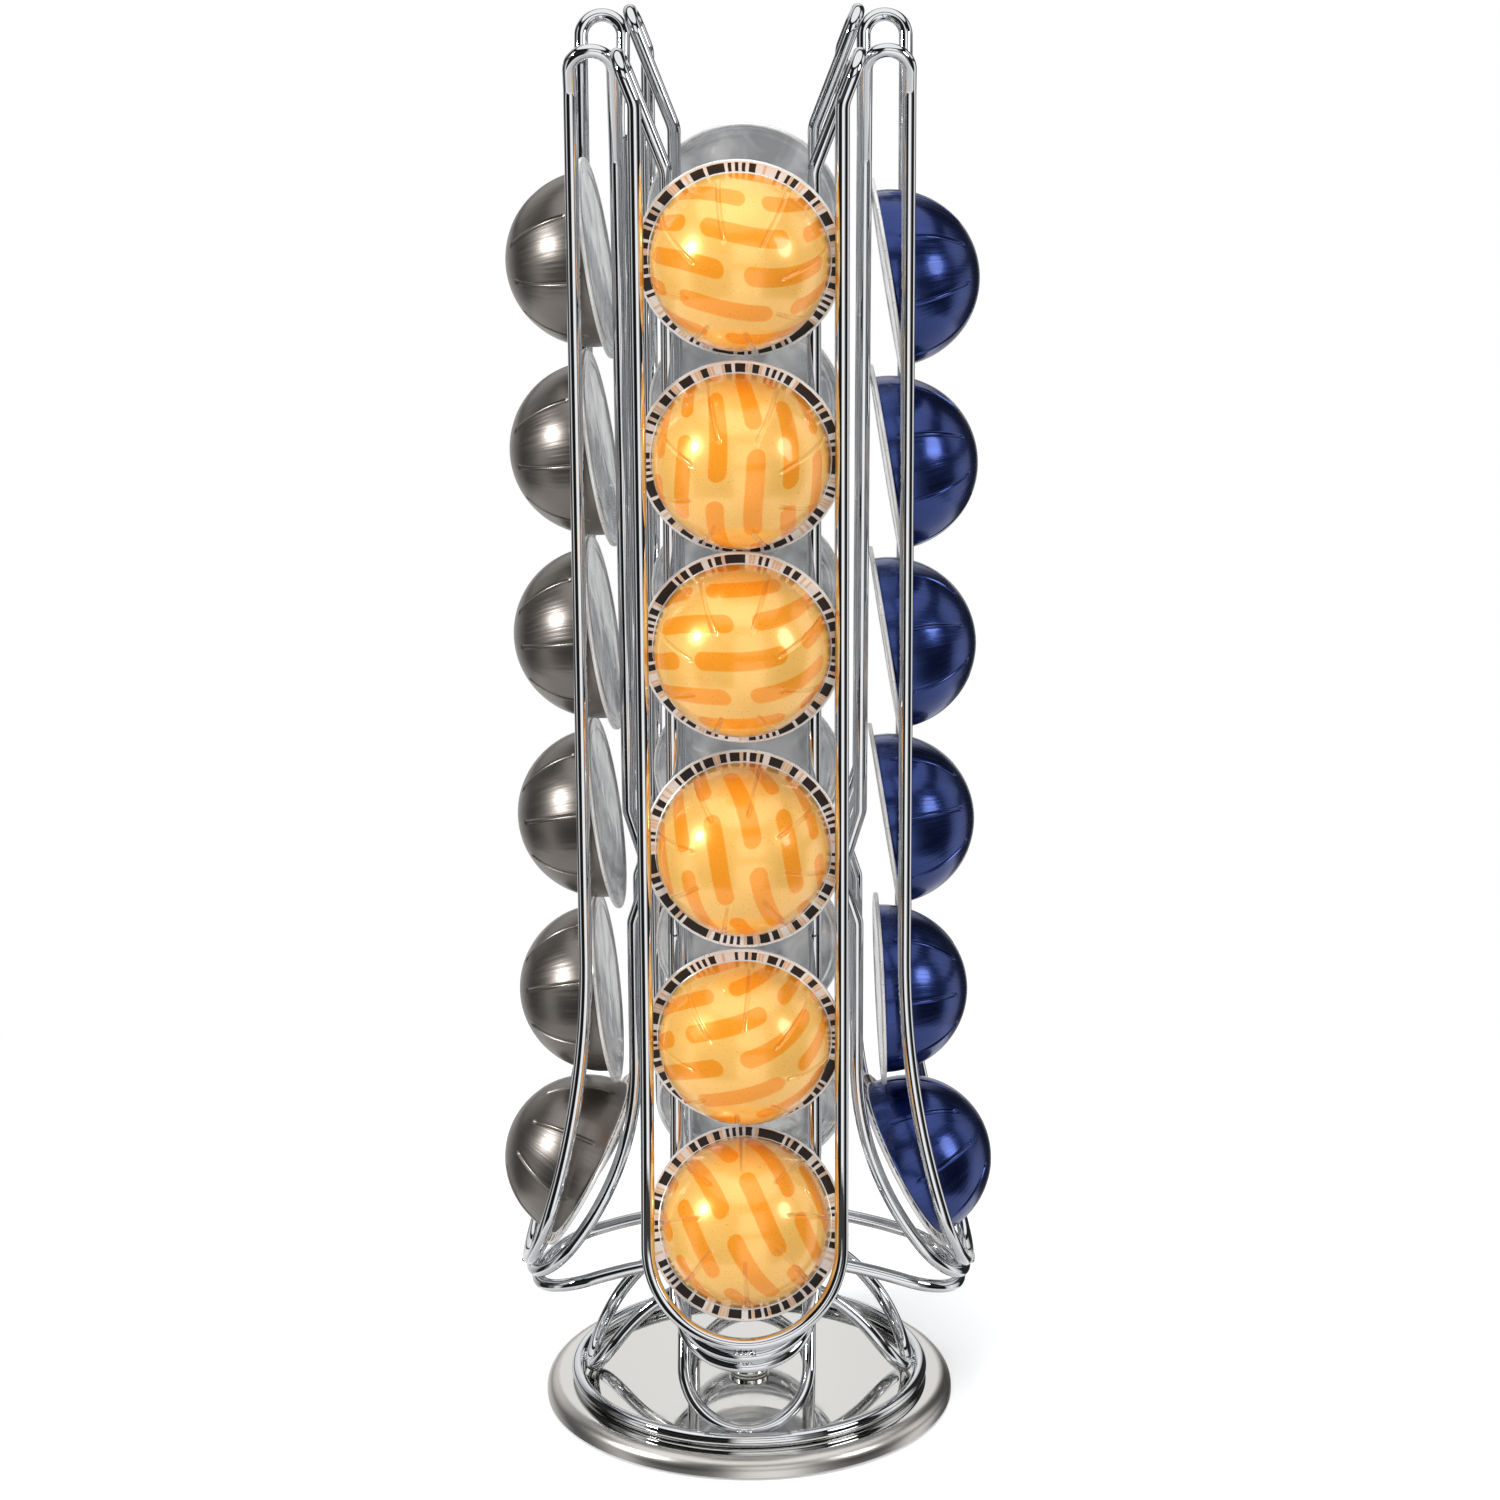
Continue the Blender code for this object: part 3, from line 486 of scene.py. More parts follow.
welds = made_by_nodes("weld_beads", spots, [], beads, {
    "Bead Size": BEAD_D * MM, "Lump Height": LUMP_HEIGHT * MM, "Seed": BEAD_SEED, "Finish": chrome})
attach(welds, "carousel")


# Capsules: each is drawn from thin aluminium to a near-hemisphere with eight pressed grooves, its
# flange carries a ring of printed bars, the edge is curled, and a foil lid is sealed on the back.
# The body is lacquered in the colour of its blend.
RIM_R, BODY_R, BODY_DEPTH, RIM_HALF = 31.8, 27.7, 28.2, 0.7
GROOVES, GROOVE_START, GROOVE_END, GROOVE_HALF, GROOVE_DEPTH = 8, 33.0, 80.0, 0.75, 0.5
# A groove's wall is this share of its half width, and a low lip stands beside it
GROOVE_WALL, LIP_AWAY, LIP_WIDTH, LIP_HEIGHT = 0.45, 0.25, 0.22, 0.07
# Lines of points run this far beside a groove's middle, or near the pole within a share of a sector
GROOVE_LINES, GROOVE_MOST = (-1.6, -1.15, -0.85, -0.55, -0.2, 0.2, 0.55, 0.85, 1.15, 1.6), 0.3
PLAIN_LINES, DOME_RINGS = 4, 54
FLANGE = [(27.80, 0.60), (27.92, 0.46), (28.08, 0.42), (30.75, 0.42), (30.95, 0.52), (31.28, 0.63),
          (31.58, 0.56), (31.72, 0.34), (31.77, 0.0), (31.72, -0.36), (31.5, -0.6), (31.2, -0.66),
          (30.9, -0.54)]
PRINT_START, PRINT_END = 28.0, 31.0
LID = [(30.6, -0.46), (30.1, -0.6), (29.6, -0.46), (28.7, -0.44), (28.2, -0.58), (27.7, -0.42), (27.1, -0.34),
       (26.5, -0.30), (25.0, -0.32), (22.0, -0.32), (18.0, -0.32), (13.0, -0.32), (8.0, -0.32), (3.5, -0.32)]
# The lid's broad creases and fine wrinkles, and how far in from its edge they reach their full depth
CREASE_MM, WRINKLE_MM, WRINKLE_SHARE, CREASE_DEPTH, CREASE_FADE = 8.0, 3.1, 0.4, 0.17, 3.0
DOME, PRINT, CURL, FOIL = range(4)
SHEET_MM = 100.0
CAPSULE_SHARP = 50


def groove_depth(polar, across):
    """How far the dome is pressed in, for a polar angle in degrees and a distance from the groove's line."""
    beyond = max(GROOVE_START - polar, polar - GROOVE_END, 0.0)
    away = math.hypot(math.radians(beyond) * BODY_R, across)
    inside = min(max((GROOVE_HALF - away) / (GROOVE_HALF * GROOVE_WALL), 0.0), 1.0)
    lip = math.exp(-(((away - GROOVE_HALF - LIP_AWAY) / LIP_WIDTH) ** 2))
    return GROOVE_DEPTH * inside * inside * (3 - 2 * inside) - LIP_HEIGHT * lip


def ring_angles(radius):
    """Angles round the capsule: close together over each groove, and spread between the grooves."""
    sector = math.tau / GROOVES
    angles = []
    for groove in range(GROOVES):
        reach = min(GROOVE_LINES[-1] / radius / sector, GROOVE_MOST)
        near = [line / GROOVE_LINES[-1] * reach for line in GROOVE_LINES]
        angles += [(groove + share) * sector for share in near]
        gap = 1 - 2 * near[-1]
        angles += [(groove + near[-1] + gap * (step + 1) / (PLAIN_LINES + 1)) * sector
                   for step in range(PLAIN_LINES)]
    return angles


def capsule_mesh():
    """One capsule in its own frame, rim middle at the origin and dome towards +Z."""
    rings, flat, kinds = [], [], []
    for ring in range(1, DOME_RINGS + 1):
        polar = 90.0 * ring / DOME_RINGS
        turn = math.radians(polar)
        radius, level = BODY_R * math.sin(turn), RIM_HALF + BODY_DEPTH * math.cos(turn)
        row, laid = [], []
        for angle in ring_angles(radius):
            sector = math.tau / GROOVES
            aside = (angle - round(angle / sector) * sector) * radius
            pressed = groove_depth(polar, aside)
            far, high = radius - pressed * math.sin(turn), level - pressed * math.cos(turn)
            row.append((far * math.cos(angle), far * math.sin(angle), high))
            laid.append((BODY_R * turn * math.cos(angle), BODY_R * turn * math.sin(angle)))
        rings.append(row)
        flat.append(laid)
        kinds.append(DOME)
    angles = ring_angles(BODY_R)
    for radius, level in FLANGE:
        rings.append([(radius * math.cos(angle), radius * math.sin(angle), level) for angle in angles])
        kinds.append(PRINT if PRINT_START < radius < PRINT_END else CURL)
    for radius, level in LID:
        row = []
        fade = min(1.0, (LID[0][0] - radius) / CREASE_FADE)
        for angle in angles:
            spot = Vector((radius * math.cos(angle), radius * math.sin(angle), level))
            crease = noise.noise(spot / CREASE_MM) + WRINKLE_SHARE * noise.noise(spot / WRINKLE_MM)
            row.append((spot.x, spot.y, level + CREASE_DEPTH * crease * fade))
        rings.append(row)
        kinds.append(FOIL)
    points = [(0.0, 0.0, RIM_HALF + BODY_DEPTH), (0.0, 0.0, LID[-1][1])]
    points += [point for row in rings for point in row]
    width = len(angles)
    faces, marks, wraps = [], [], []

    def at(ring, step):
        """The number of a point: the two poles come first."""
        return 2 + ring * width + step % width

    def wrap(ring, step):
        """A corner's place on the print: the dome laid flat, the flange as a strip, the lid as seen."""
        if kinds[ring] == DOME:
            spot = flat[ring][step % width]
        elif kinds[ring] == FOIL:
            spot = rings[ring][step % width][:2]
        else:
            turn = (angles[step % width] + (math.tau if step >= width else 0.0)) / math.tau
            return (turn, (math.hypot(*rings[ring][step % width][:2]) - BODY_R) / (RIM_R - BODY_R))
        return (spot[0] / SHEET_MM + 0.5, spot[1] / SHEET_MM + 0.5)

    for step in range(width):
        faces.append((0, at(0, step), at(0, step + 1)))
        wraps.append([(0.5, 0.5), wrap(0, step), wrap(0, step + 1)])
        marks.append(DOME)
    for ring in range(len(rings) - 1):
        for step in range(width):
            corners = ((ring, step), (ring + 1, step), (ring + 1, step + 1), (ring, step + 1))
            faces.append([at(*corner) for corner in corners])
            wraps.append([wrap(*corner) for corner in corners])
            marks.append(max(kinds[ring], kinds[ring + 1]))
    last = len(rings) - 1
    for step in range(width):
        faces.append((at(last, step), 1, at(last, step + 1)))
        wraps.append([wrap(last, step), (0.5, 0.5), wrap(last, step + 1)])
        marks.append(FOIL)
    mesh = bpy.data.meshes.new("capsule")
    mesh.from_pydata([Vector(point) * MM for point in points], [], faces)
    sheet = mesh.uv_layers.new(name="print")
    sheet.data.foreach_set("uv", [value for corner in wraps for spot in corner for value in spot])
    mesh.polygons.foreach_set("material_index", marks)
    mesh.shade_smooth()
    mesh.set_sharp_from_angle(angle=math.radians(CAPSULE_SHARP))
    return mesh


# Printed flange: white and cream bars between black ones, in no meaningful order. The print is
# matt ink on lacquer, and a single bar is about a millimetre wide.
BARS, BLACK_SHARE, PLAIN_SHARE, CREAM_HALF, SECOND_DRAW = 176, 0.5, 0.55, 0.4, 31.7
bars, tree = new_material("printed bar ring on lacquered aluminium")
sheet = put(tree, "ShaderNodeUVMap", uv_map="print").outputs["UV"]
strip = put(tree, "ShaderNodeSeparateXYZ", {"Vector": sheet})
count = put(tree, "ShaderNodeMath", {0: strip.outputs["X"], 1: float(BARS)}, operation="MULTIPLY")
number = put(tree, "ShaderNodeMath", {0: count}, operation="FLOOR")
share = put(tree, "ShaderNodeMath", {0: count}, operation="FRACT")
chance = put(tree, "ShaderNodeTexWhiteNoise", {"W": number}, noise_dimensions="1D")
other = put(tree, "ShaderNodeMath", {0: number, 1: SECOND_DRAW}, operation="ADD")
second = put(tree, "ShaderNodeTexWhiteNoise", {"W": other}, noise_dimensions="1D")
black = put(tree, "ShaderNodeMath", {0: chance.outputs["Value"], 1: BLACK_SHARE}, operation="LESS_THAN")
cream = put(tree, "ShaderNodeMath", {0: second.outputs["Value"], 1: PLAIN_SHARE}, operation="GREATER_THAN")
middle = put(tree, "ShaderNodeMath", {0: share, 1: 0.5, 2: CREAM_HALF}, operation="COMPARE")
filled = put(tree, "ShaderNodeMath", {0: cream, 1: middle}, operation="MULTIPLY")
ground = put(tree, "ShaderNodeMix", {
    "Factor": filled, "A": linear("EFEDEA"), "B": linear("E6C4A2")}, data_type="RGBA")
shade = put(tree, "ShaderNodeMix", {
    "Factor": black, "A": ground.outputs["Result"], "B": linear("241D1D")}, data_type="RGBA")
gloss = put(tree, "ShaderNodeMapRange", {"Value": black, "To Min": 0.32, "To Max": 0.45})
body = put(tree, "ShaderNodeBsdfPrincipled", {
    "Base Color": shade.outputs["Result"], "Metallic": 0.15, "Roughness": gloss})
put(tree, "ShaderNodeOutputMaterial", {"Surface": body})

# Curled edge: bare aluminium under clear lacquer, soft silver with drawing lines a millimetre apart
CURL_LINE_MM = 1.2
curl, tree = new_material("curled aluminium edge")
place = put(tree, "ShaderNodeTexCoord").outputs["Object"]
lines = put(tree, "ShaderNodeTexNoise", {"Vector": place, "Scale": cells(CURL_LINE_MM), "Detail": 3.0})
gloss = put(tree, "ShaderNodeMapRange", {"Value": lines, "To Min": 0.22, "To Max": 0.38})
shade = put(tree, "ShaderNodeMix", {
    "Factor": lines, "A": linear("EFEDEA"), "B": linear("FAF9F7")}, data_type="RGBA")
body = put(tree, "ShaderNodeBsdfPrincipled", {
    "Base Color": shade.outputs["Result"], "Metallic": 0.4, "Roughness": gloss})
put(tree, "ShaderNodeOutputMaterial", {"Surface": body})

# Sealed foil lid: soft-temper aluminium foil under clear heat-seal lacquer, bright silver, with broad
# creases from the sealing a centimetre apart and rolling lines just under a millimetre apart. Its colour
# is painted lighter and darker in broad patches over the creases, a painted reflection of what it mirrors.
CLOUD_MM, CLOUD_DEPTH, ROLLED_MM, ROLLED_STRETCH = 12, 0.35, 0.8, 0.04
foil, tree = new_material("sealed aluminium foil with painted reflection patches")
place = put(tree, "ShaderNodeTexCoord").outputs["Object"]
creases_and_painted_reflection = put(tree, "ShaderNodeTexNoise", {
    "Vector": place, "Scale": cells(CLOUD_MM), "Detail": 3.0, "Distortion": 0.5})
stretched = put(tree, "ShaderNodeMapping", {"Vector": place, "Scale": (1.0, 1.0, ROLLED_STRETCH)})
rolled = put(tree, "ShaderNodeTexNoise", {"Vector": stretched, "Scale": cells(ROLLED_MM), "Detail": 2.0})
# Painted reflection: the crease noise paints the foil's colour lighter and darker in patches
painted_reflection_patches = put(tree, "ShaderNodeMapRange", {"Value": creases_and_painted_reflection, "From Min": 0.38, "From Max": 0.62})
shade = put(tree, "ShaderNodeMix", {
    "Factor": painted_reflection_patches, "A": linear("C9CBCD"), "B": linear("FBFBFB")}, data_type="RGBA")
gloss = put(tree, "ShaderNodeMapRange", {
    "Value": rolled, "From Min": 0.3, "From Max": 0.7, "To Min": 0.08, "To Max": 0.2})
dents = put(tree, "ShaderNodeBump", {"Height": creases_and_painted_reflection, "Distance": CLOUD_DEPTH * MM, "Strength": 0.5})
body = put(tree, "ShaderNodeBsdfPrincipled", {
    "Base Color": shade.outputs["Result"], "Metallic": 0.6, "Roughness": gloss, "Normal": dents})
put(tree, "ShaderNodeOutputMaterial", {"Surface": body})

# Lacquered bodies in one colour: translucent ink over bright aluminium, satin, with fine drawing
# lines a millimetre apart that run from the dome's pole to the flange, and a slightly uneven coat
DRAWN_MM, DRAWN_STRETCH, DRAWN_DEPTH, COAT_MM = 1.1, 0.06, 0.12, 9
# Each finish: its name, its deep and light colour, its roughness from and to, and its clear coat
LACQUERS = {
    "right": ("dark blue lacquered aluminium", "2E3F7C", "3A4C8C", 0.20, 0.30, 0.30),
    "back": ("silver lacquered aluminium", "CFD0D1", "DEDFE0", 0.24, 0.34, 0.35),
    "left": ("gunmetal lacquered aluminium", "837D78", "908A84", 0.29, 0.38, 0.12),
}
lacquers = {}
for column, (name, deep, light, sleek, dull, coat) in LACQUERS.items():
    lacquers[column], tree = new_material(name)
    place = put(tree, "ShaderNodeTexCoord").outputs["Object"]
    uneven = put(tree, "ShaderNodeTexNoise", {"Vector": place, "Scale": cells(COAT_MM), "Detail": 3.0})
    sheet = put(tree, "ShaderNodeUVMap", uv_map="print").outputs["UV"]
    laid = put(tree, "ShaderNodeVectorMath", {0: sheet, 1: (-0.5, -0.5, 0.0)}, operation="ADD")
    far = put(tree, "ShaderNodeVectorMath", {0: laid}, operation="LENGTH")
    heading = put(tree, "ShaderNodeVectorMath", {0: laid}, operation="NORMALIZE")
    ringed = put(tree, "ShaderNodeVectorMath", {0: heading, "Scale": BODY_R}, operation="SCALE")
    outward = put(tree, "ShaderNodeMath", {
        0: far.outputs["Value"], 1: SHEET_MM * DRAWN_STRETCH}, operation="MULTIPLY")
    lifted = put(tree, "ShaderNodeCombineXYZ", {"Z": outward})
    streaked = put(tree, "ShaderNodeVectorMath", {0: ringed, 1: lifted}, operation="ADD")
    drawn = put(tree, "ShaderNodeTexNoise", {"Vector": streaked, "Scale": 1 / DRAWN_MM, "Detail": 2.0})
    shade = put(tree, "ShaderNodeMix", {
        "Factor": uneven, "A": linear(deep), "B": linear(light)}, data_type="RGBA")
    gloss = put(tree, "ShaderNodeMapRange", {
        "Value": drawn, "From Min": 0.3, "From Max": 0.7, "To Min": sleek, "To Max": dull})
    dents = put(tree, "ShaderNodeBump", {"Height": drawn, "Distance": DRAWN_DEPTH * MM, "Strength": 0.5})
    body = put(tree, "ShaderNodeBsdfPrincipled", {
        "Base Color": shade.outputs["Result"], "Metallic": 0.95, "Roughness": gloss,
        "Coat Weight": coat, "Coat Roughness": 0.10, "Normal": dents})
    put(tree, "ShaderNodeOutputMaterial", {"Surface": body})

# Gold lacquer with a printed pattern: rows of rounded dashes in deeper gold run slantwise over the
# light gold ground. Dashes are 6 mm wide and 30 mm long, rows are 12 mm apart and bow gently.
ROW_PITCH, DASH_PITCH, DASH_HALF, DASH_R, ROW_SLIP, SLANT = 12.0, 36.0, 12.0, 3.0, 15.0, 58.0
BOW_RATE, BOW_REACH, INK_EDGE, INK_COAT_MM, INK_GRAIN_MM, INK_DEPTH = 0.09, 2.2, 0.12, 8, 0.7, 0.1
lacquers["front"], tree = new_material("gold lacquered aluminium with printed dashes")
sheet = put(tree, "ShaderNodeUVMap", uv_map="print").outputs["UV"]
laid = put(tree, "ShaderNodeVectorMath", {0: sheet, 1: (-0.5, -0.5, 0.0)}, operation="ADD")
sized = put(tree, "ShaderNodeVectorMath", {0: laid, "Scale": SHEET_MM}, operation="SCALE")
slanted = put(tree, "ShaderNodeVectorRotate", {
    "Vector": sized, "Angle": math.radians(SLANT)}, rotation_type="Z_AXIS")
parts = put(tree, "ShaderNodeSeparateXYZ", {"Vector": slanted})
swell = put(tree, "ShaderNodeMath", {0: parts.outputs["X"], 1: BOW_RATE}, operation="MULTIPLY")
wave = put(tree, "ShaderNodeMath", {0: swell}, operation="SINE")
bowed = put(tree, "ShaderNodeMath", {0: wave, 1: BOW_REACH, 2: parts.outputs["Y"]}, operation="MULTIPLY_ADD")
rows = put(tree, "ShaderNodeMath", {0: bowed, 1: ROW_PITCH}, operation="DIVIDE")
row = put(tree, "ShaderNodeMath", {0: rows}, operation="FLOOR")
in_row = put(tree, "ShaderNodeMath", {0: rows}, operation="FRACT")
off_line = put(tree, "ShaderNodeMath", {0: in_row, 1: 0.5}, operation="SUBTRACT")
aside = put(tree, "ShaderNodeMath", {0: off_line, 1: ROW_PITCH}, operation="MULTIPLY")
slipped = put(tree, "ShaderNodeMath", {0: row, 1: ROW_SLIP, 2: parts.outputs["X"]}, operation="MULTIPLY_ADD")
dashes = put(tree, "ShaderNodeMath", {0: slipped, 1: DASH_PITCH}, operation="DIVIDE")
in_dash = put(tree, "ShaderNodeMath", {0: dashes}, operation="FRACT")
off_middle = put(tree, "ShaderNodeMath", {0: in_dash, 1: 0.5}, operation="SUBTRACT")
along = put(tree, "ShaderNodeMath", {0: off_middle, 1: DASH_PITCH}, operation="MULTIPLY")
reach = put(tree, "ShaderNodeMath", {0: along}, operation="ABSOLUTE")
past = put(tree, "ShaderNodeMath", {0: reach, 1: DASH_HALF}, operation="SUBTRACT")
beyond = put(tree, "ShaderNodeMath", {0: past, 1: 0.0}, operation="MAXIMUM")
spot = put(tree, "ShaderNodeCombineXYZ", {"X": beyond, "Y": aside})
away = put(tree, "ShaderNodeVectorMath", {0: spot}, operation="LENGTH")
inked = put(tree, "ShaderNodeMapRange", {
    "Value": away.outputs["Value"], "From Min": DASH_R + INK_EDGE, "From Max": DASH_R - INK_EDGE})
place = put(tree, "ShaderNodeTexCoord").outputs["Object"]
uneven = put(tree, "ShaderNodeTexNoise", {"Vector": place, "Scale": cells(INK_COAT_MM), "Detail": 3.0})
drawn = put(tree, "ShaderNodeTexNoise", {"Vector": place, "Scale": cells(INK_GRAIN_MM), "Detail": 2.0})
pale = put(tree, "ShaderNodeMix", {
    "Factor": uneven, "A": linear("FBBB58"), "B": linear("FFCA6E")}, data_type="RGBA")
shade = put(tree, "ShaderNodeMix", {
    "Factor": inked, "A": pale.outputs["Result"], "B": linear("FC9D22")}, data_type="RGBA")
gloss = put(tree, "ShaderNodeMapRange", {"Value": drawn, "To Min": 0.24, "To Max": 0.34})
dents = put(tree, "ShaderNodeBump", {"Height": uneven, "Distance": INK_DEPTH * MM, "Strength": 0.25})
body = put(tree, "ShaderNodeBsdfPrincipled", {
    "Base Color": shade.outputs["Result"], "Metallic": 0.22, "Roughness": gloss,
    "Coat Weight": 0.9, "Coat Roughness": 0.06, "Normal": dents})
put(tree, "ShaderNodeOutputMaterial", {"Surface": body})

COUNT = 6
# Capsules drop in at any angle: each is turned about its own axis by its number and its column
NUMBER_TURN, COLUMN_TURN = 97, 40
LEVEL_WITH_LID = 0.999


def seated(solid):
    """The place that a capsule's own solid holds: its axis is read from the flat lid side."""
    lid = max(solid.data.polygons, key=lambda face: face.area).normal
    facing = [face for face in solid.data.polygons if face.normal.dot(lid) > LEVEL_WITH_LID]
    axis = -sum((face.normal * face.area for face in facing), Vector()).normalized()
    stand = axis.to_track_quat("Z", "Y").to_matrix()
    points = [stand.transposed() @ vertex.co for vertex in solid.data.vertices]
    least, most = ([reach(point[side] for point in points) for side in range(3)] for reach in (min, max))
    middle = [(least[side] + most[side]) / 2 for side in (0, 1)]
    base = least[2] + RIM_HALF * MM
    return Matrix.Translation(stand @ Vector((*middle, base))) @ stand.to_4x4()


pattern = capsule_mesh()
for column, turn in TURNS.items():
    for number in range(1, COUNT + 1):
        node = f"capsule_{column}_{number}"
        mesh = pattern.copy()
        mesh.name = "domed_" + node
        for material in (lacquers[column], bars, curl, foil):
            mesh.materials.append(material)
        own_turn = Matrix.Rotation(math.radians(NUMBER_TURN * number + COLUMN_TURN * (turn // 90)), 4, "Z")
        mesh.transform(seated(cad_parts[node]) @ own_turn)
        capsule = bpy.data.objects.new("domed_" + node, mesh)
        bpy.context.scene.collection.objects.link(capsule)
        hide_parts(node)
        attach(capsule, "carousel" if number == COUNT else node)
bpy.data.meshes.remove(pattern)


# Table: a white paper sweep under the rack. The camera sees it lit a little from within, so that it
# stays white, with the rack's shadow close by, and it turns to plain white further out.
PAPER_MM, PAPER_LIFT = 2, 0.28
# In metres: where the shadowed paper ends and the plain white begins, and half the sweep's width
SHADOW_END, PLAIN_START, FLOOR_HALF = 0.12, 0.45, 5.0
paper, tree = new_material("white paper sweep")
place = put(tree, "ShaderNodeTexCoord").outputs["Object"]
fibre = put(tree, "ShaderNodeTexNoise", {"Vector": place, "Scale": cells(PAPER_MM), "Detail": 3.0})
shade = put(tree, "ShaderNodeMix", {
    "Factor": fibre, "A": linear("EFEFEF"), "B": linear("F3F3F3")}, data_type="RGBA")
diffuse = put(tree, "ShaderNodeBsdfDiffuse", {"Color": shade.outputs["Result"], "Roughness": 0.5})
lit = put(tree, "ShaderNodeEmission", {"Color": linear("FFFFFF"), "Strength": PAPER_LIFT})
both = put(tree, "ShaderNodeAddShader", {0: diffuse, 1: lit})
glow = put(tree, "ShaderNodeEmission", {"Color": linear("FFFFFF"), "Strength": 1.0})
away = put(tree, "ShaderNodeVectorMath", {0: place}, operation="LENGTH")
far = put(tree, "ShaderNodeMapRange", {
    "Value": away.outputs["Value"], "From Min": SHADOW_END, "From Max": PLAIN_START})
both = put(tree, "ShaderNodeMixShader", {0: far, 1: both, 2: glow})
seen = put(tree, "ShaderNodeLightPath")
choice = put(tree, "ShaderNodeMixShader", {0: seen.outputs["Is Camera Ray"], 1: diffuse, 2: both})
put(tree, "ShaderNodeOutputMaterial", {"Surface": choice})
table = bpy.data.meshes.new("table_top")
table.from_pydata([(-FLOOR_HALF, -FLOOR_HALF, 0), (FLOOR_HALF, -FLOOR_HALF, 0), (FLOOR_HALF, FLOOR_HALF, 0),
                   (-FLOOR_HALF, FLOOR_HALF, 0)], [], [(0, 1, 2, 3)])
table.materials.append(paper)
floor = bpy.data.objects.new("table_top", table)
floor.visible_glossy = False
bpy.context.scene.collection.objects.link(floor)


# Surroundings: a white background for the camera. The chrome mirrors pale walls with dark gaps
# between them, a table top below and a ceiling light above, which only glossy rays see.
world = bpy.data.worlds.new("studio")
bpy.context.scene.world = world
world.use_nodes = True
tree = world.node_tree
tree.nodes.clear()
towards = put(tree, "ShaderNodeTexCoord").outputs["Generated"]
parts = put(tree, "ShaderNodeSeparateXYZ", {"Vector": towards})
forward = put(tree, "ShaderNodeMath", {0: parts.outputs["Y"], 1: -1.0}, operation="MULTIPLY")
bearing = put(tree, "ShaderNodeMath", {0: parts.outputs["X"], 1: forward}, operation="ARCTAN2")
share = put(tree, "ShaderNodeMapRange", {"Value": bearing, "From Min": -math.pi, "From Max": math.pi})
level = put(tree, "ShaderNodeMapRange", {"Value": parts.outputs["Z"], "From Min": -1.0, "From Max": 1.0})
# Brightness of the walls by bearing in degrees, 0 behind the camera and 90 to its right
WALLS = [(-180, 0.9), (-150, 0.7), (-125, 0.3), (-118, 0.02), (-98, 0.02), (-92, 0.16), (-84, 0.16),
         (-77, 0.8), (-68, 0.6), (-62, 0.01), (-12, 0.01), (-7, 0.7), (-3, 1.0), (28, 1.0), (35, 0.25),
         (46, 0.12), (50, 0.01), (88, 0.01), (93, 0.6), (104, 0.95), (122, 0.6), (130, 0.02), (158, 0.02),
         (165, 0.6), (180, 0.9)]
# By height, as the sine of the elevation, where it isn't the walls': the table top, a low band, the
# dark gap over the walls and the ceiling light. 0 leaves the walls, and below 0 is the dark gap.
HEIGHTS = [(-1.0, 0.5), (-0.72, 0.7), (-0.61, 0.95), (-0.53, 0.0), (-0.02, 0.0), (0.02, 0.05), (0.11, 0.05),
           (0.17, 0.0), (0.56, 0.0), (0.6, -1.0), (0.71, -1.0), (0.76, 1.0), (1.0, 1.0)]
DARKEST = 0.01


def banded(input_share, bands):
    """A ramp of greys over a share from 0 to 1, with a stop at each place of the bands."""
    ramp = put(tree, "ShaderNodeValToRGB", {"Fac": input_share.outputs["Result"]})
    stops = ramp.color_ramp.elements
    stops.remove(stops[-1])
    for index, (spot, light) in enumerate(bands):
        stop = stops[0] if index == 0 else stops.new(spot)
        stop.position = spot
        stop.color = (light, light, light, 1.0)
    return ramp


ramp = banded(share, [((degrees + 180) / 360, light) for degrees, light in WALLS])
own = banded(level, [((height + 1) / 2, max(light, DARKEST)) for height, light in HEIGHTS])
part = banded(level, [((height + 1) / 2, 0.0 if light == 0.0 else 1.0) for height, light in HEIGHTS])
studio = put(tree, "ShaderNodeMix", {
    "Factor": part.outputs["Color"], "A": ramp.outputs["Color"], "B": own.outputs["Color"]}, data_type="RGBA")
seen = put(tree, "ShaderNodeLightPath")
mirrored = put(tree, "ShaderNodeMix", {
    "Factor": seen.outputs["Is Glossy Ray"], "A": linear("C6C8CA"), "B": studio.outputs["Result"]},
    data_type="RGBA")
behind = put(tree, "ShaderNodeMath", {
    0: seen.outputs["Is Camera Ray"], 1: seen.outputs["Is Transmission Ray"]}, operation="MAXIMUM")
shown = put(tree, "ShaderNodeMix", {
    "Factor": behind, "A": mirrored.outputs["Result"], "B": linear("FFFFFF")}, data_type="RGBA")
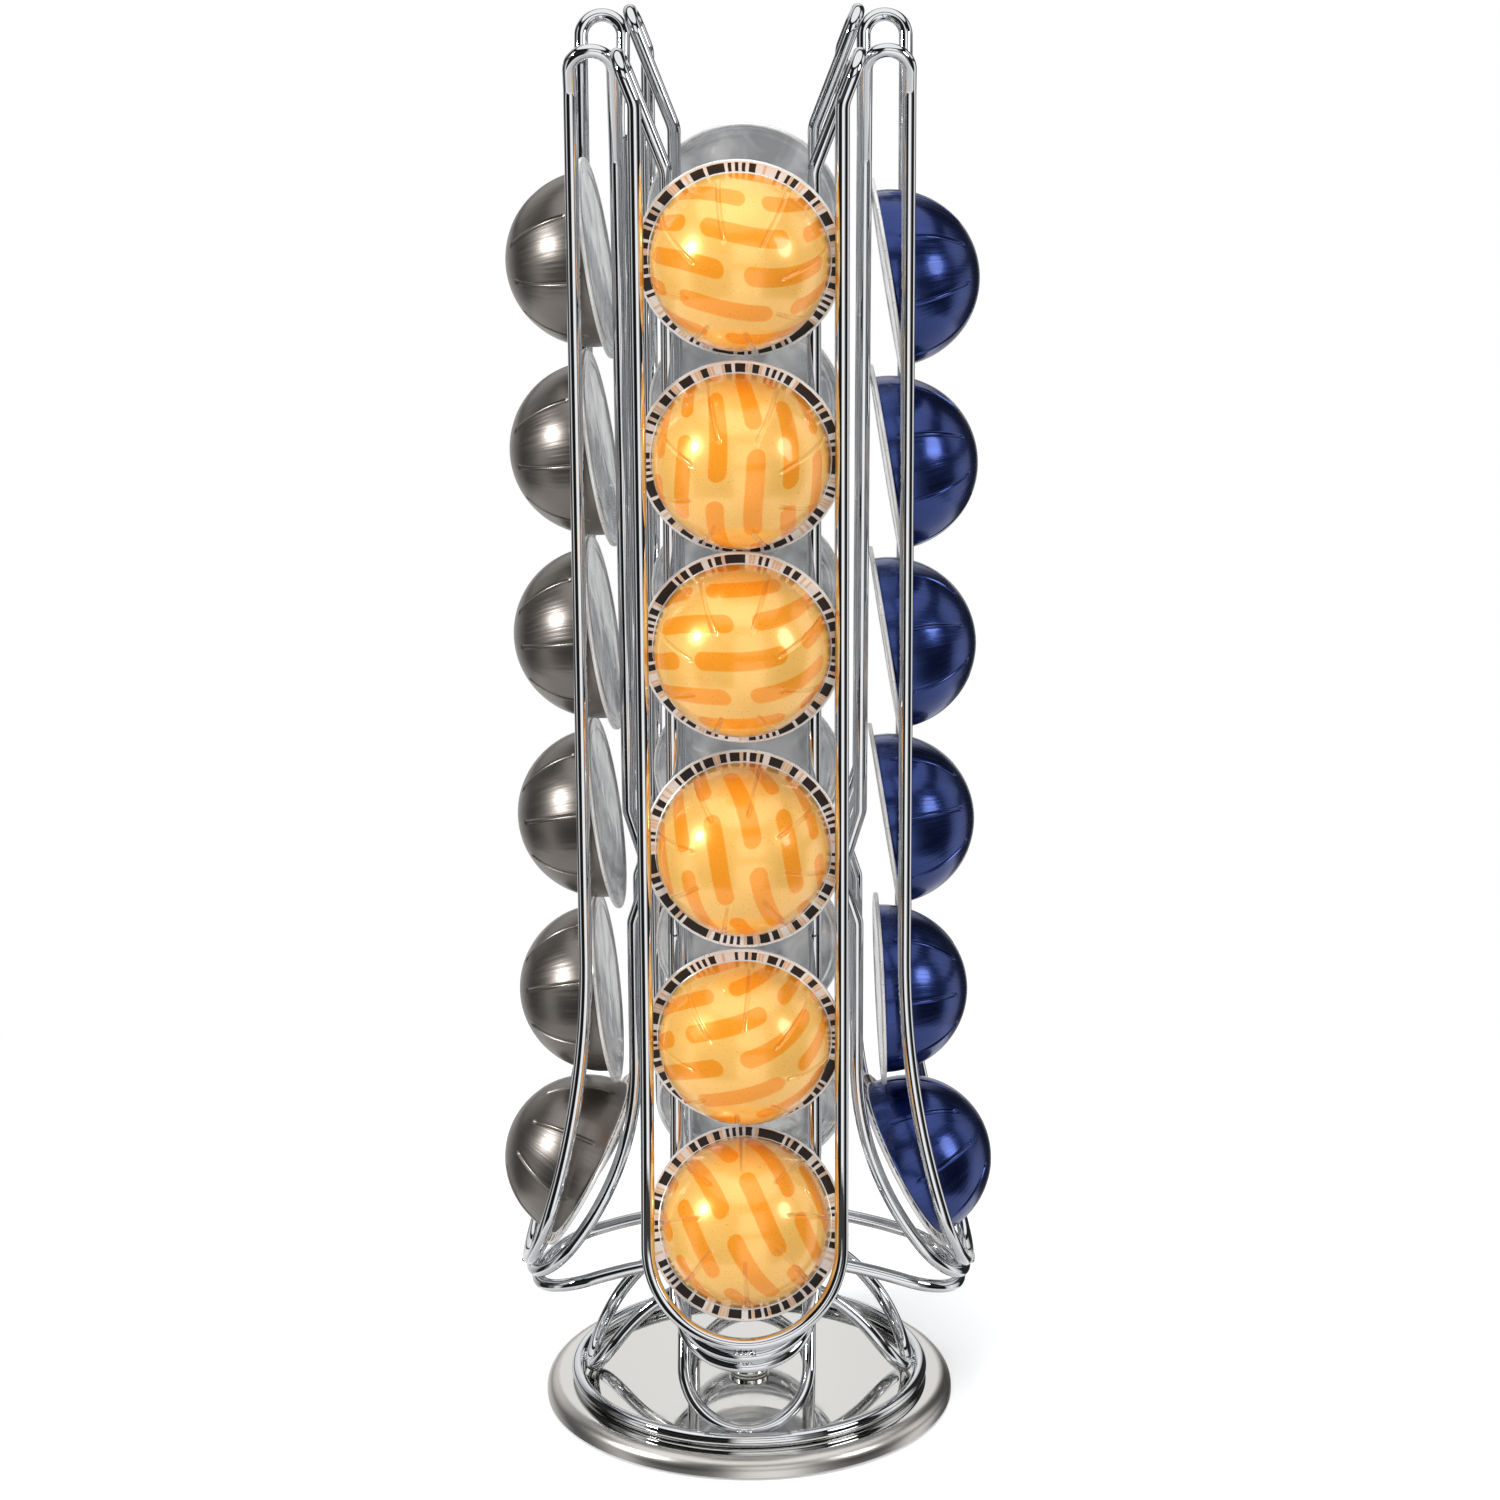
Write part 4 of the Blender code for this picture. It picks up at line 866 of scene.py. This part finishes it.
backdrop = put(tree, "ShaderNodeBackground", {"Color": shown.outputs["Result"], "Strength": 1.0})
put(tree, "ShaderNodeOutputWorld", {"Surface": backdrop})


# Lamps: a small bright disc from the left, a larger softer one from the right and a softbox overhead,
# each aimed at the rack's middle. In metres and watts: bearing in degrees, distance, height, size, power
LAMPS = [("left_lamp", -65, 2.2, 1.18, 0.32, 25), ("right_lamp", 64, 2.2, 1.15, 0.85, 9),
         ("ceiling_box", 0, 0.6, 2.2, 1.6, 26)]
RACK_MIDDLE = Vector((0, 0, 0.24))
for name, bearing, across, height, size, power in LAMPS:
    lamp = bpy.data.lights.new(name, "AREA")
    lamp.shape = "DISK"
    lamp.size = size
    lamp.energy = power
    stand = bpy.data.objects.new(name, lamp)
    turn = math.radians(bearing)
    stand.location = (across * math.sin(turn), -across * math.cos(turn), height)
    stand.rotation_euler = (RACK_MIDDLE - stand.location).to_track_quat("-Z", "Y").to_euler()
    stand.visible_glossy = name != "ceiling_box"
    bpy.context.scene.collection.objects.link(stand)


# Camera: 1.37 m in front of the rack's axis, a degree round to its right and 0.67 m up, looking down
# at it through a long lens, and leaning a third of a degree as the photograph does
EYE_DISTANCE, EYE_HEIGHT, EYE_LENS, SENSOR_WIDTH = 1.3681, 0.668, 106.35, 36.0
ORBIT, LOOK_ASIDE, LOOK_DOWN, LEAN = 1.1, 0.061, 17.828, 0.325
eye = bpy.data.cameras.new("camera")
eye.sensor_width = SENSOR_WIDTH
eye.lens = EYE_LENS
camera = bpy.data.objects.new("camera", eye)
orbit = math.radians(ORBIT)
camera.location = (EYE_DISTANCE * math.sin(orbit), -EYE_DISTANCE * math.cos(orbit), EYE_HEIGHT)
heading = Matrix.Rotation(orbit - math.radians(LOOK_ASIDE), 3, "Z")
aim = heading @ Matrix.Rotation(math.radians(90 - LOOK_DOWN), 3, "X")
camera.rotation_euler = (aim @ Matrix.Rotation(math.radians(-LEAN), 3, "Z")).to_euler()
bpy.context.scene.collection.objects.link(camera)
bpy.context.scene.camera = camera
bpy.context.scene.view_settings.view_transform = "Standard"
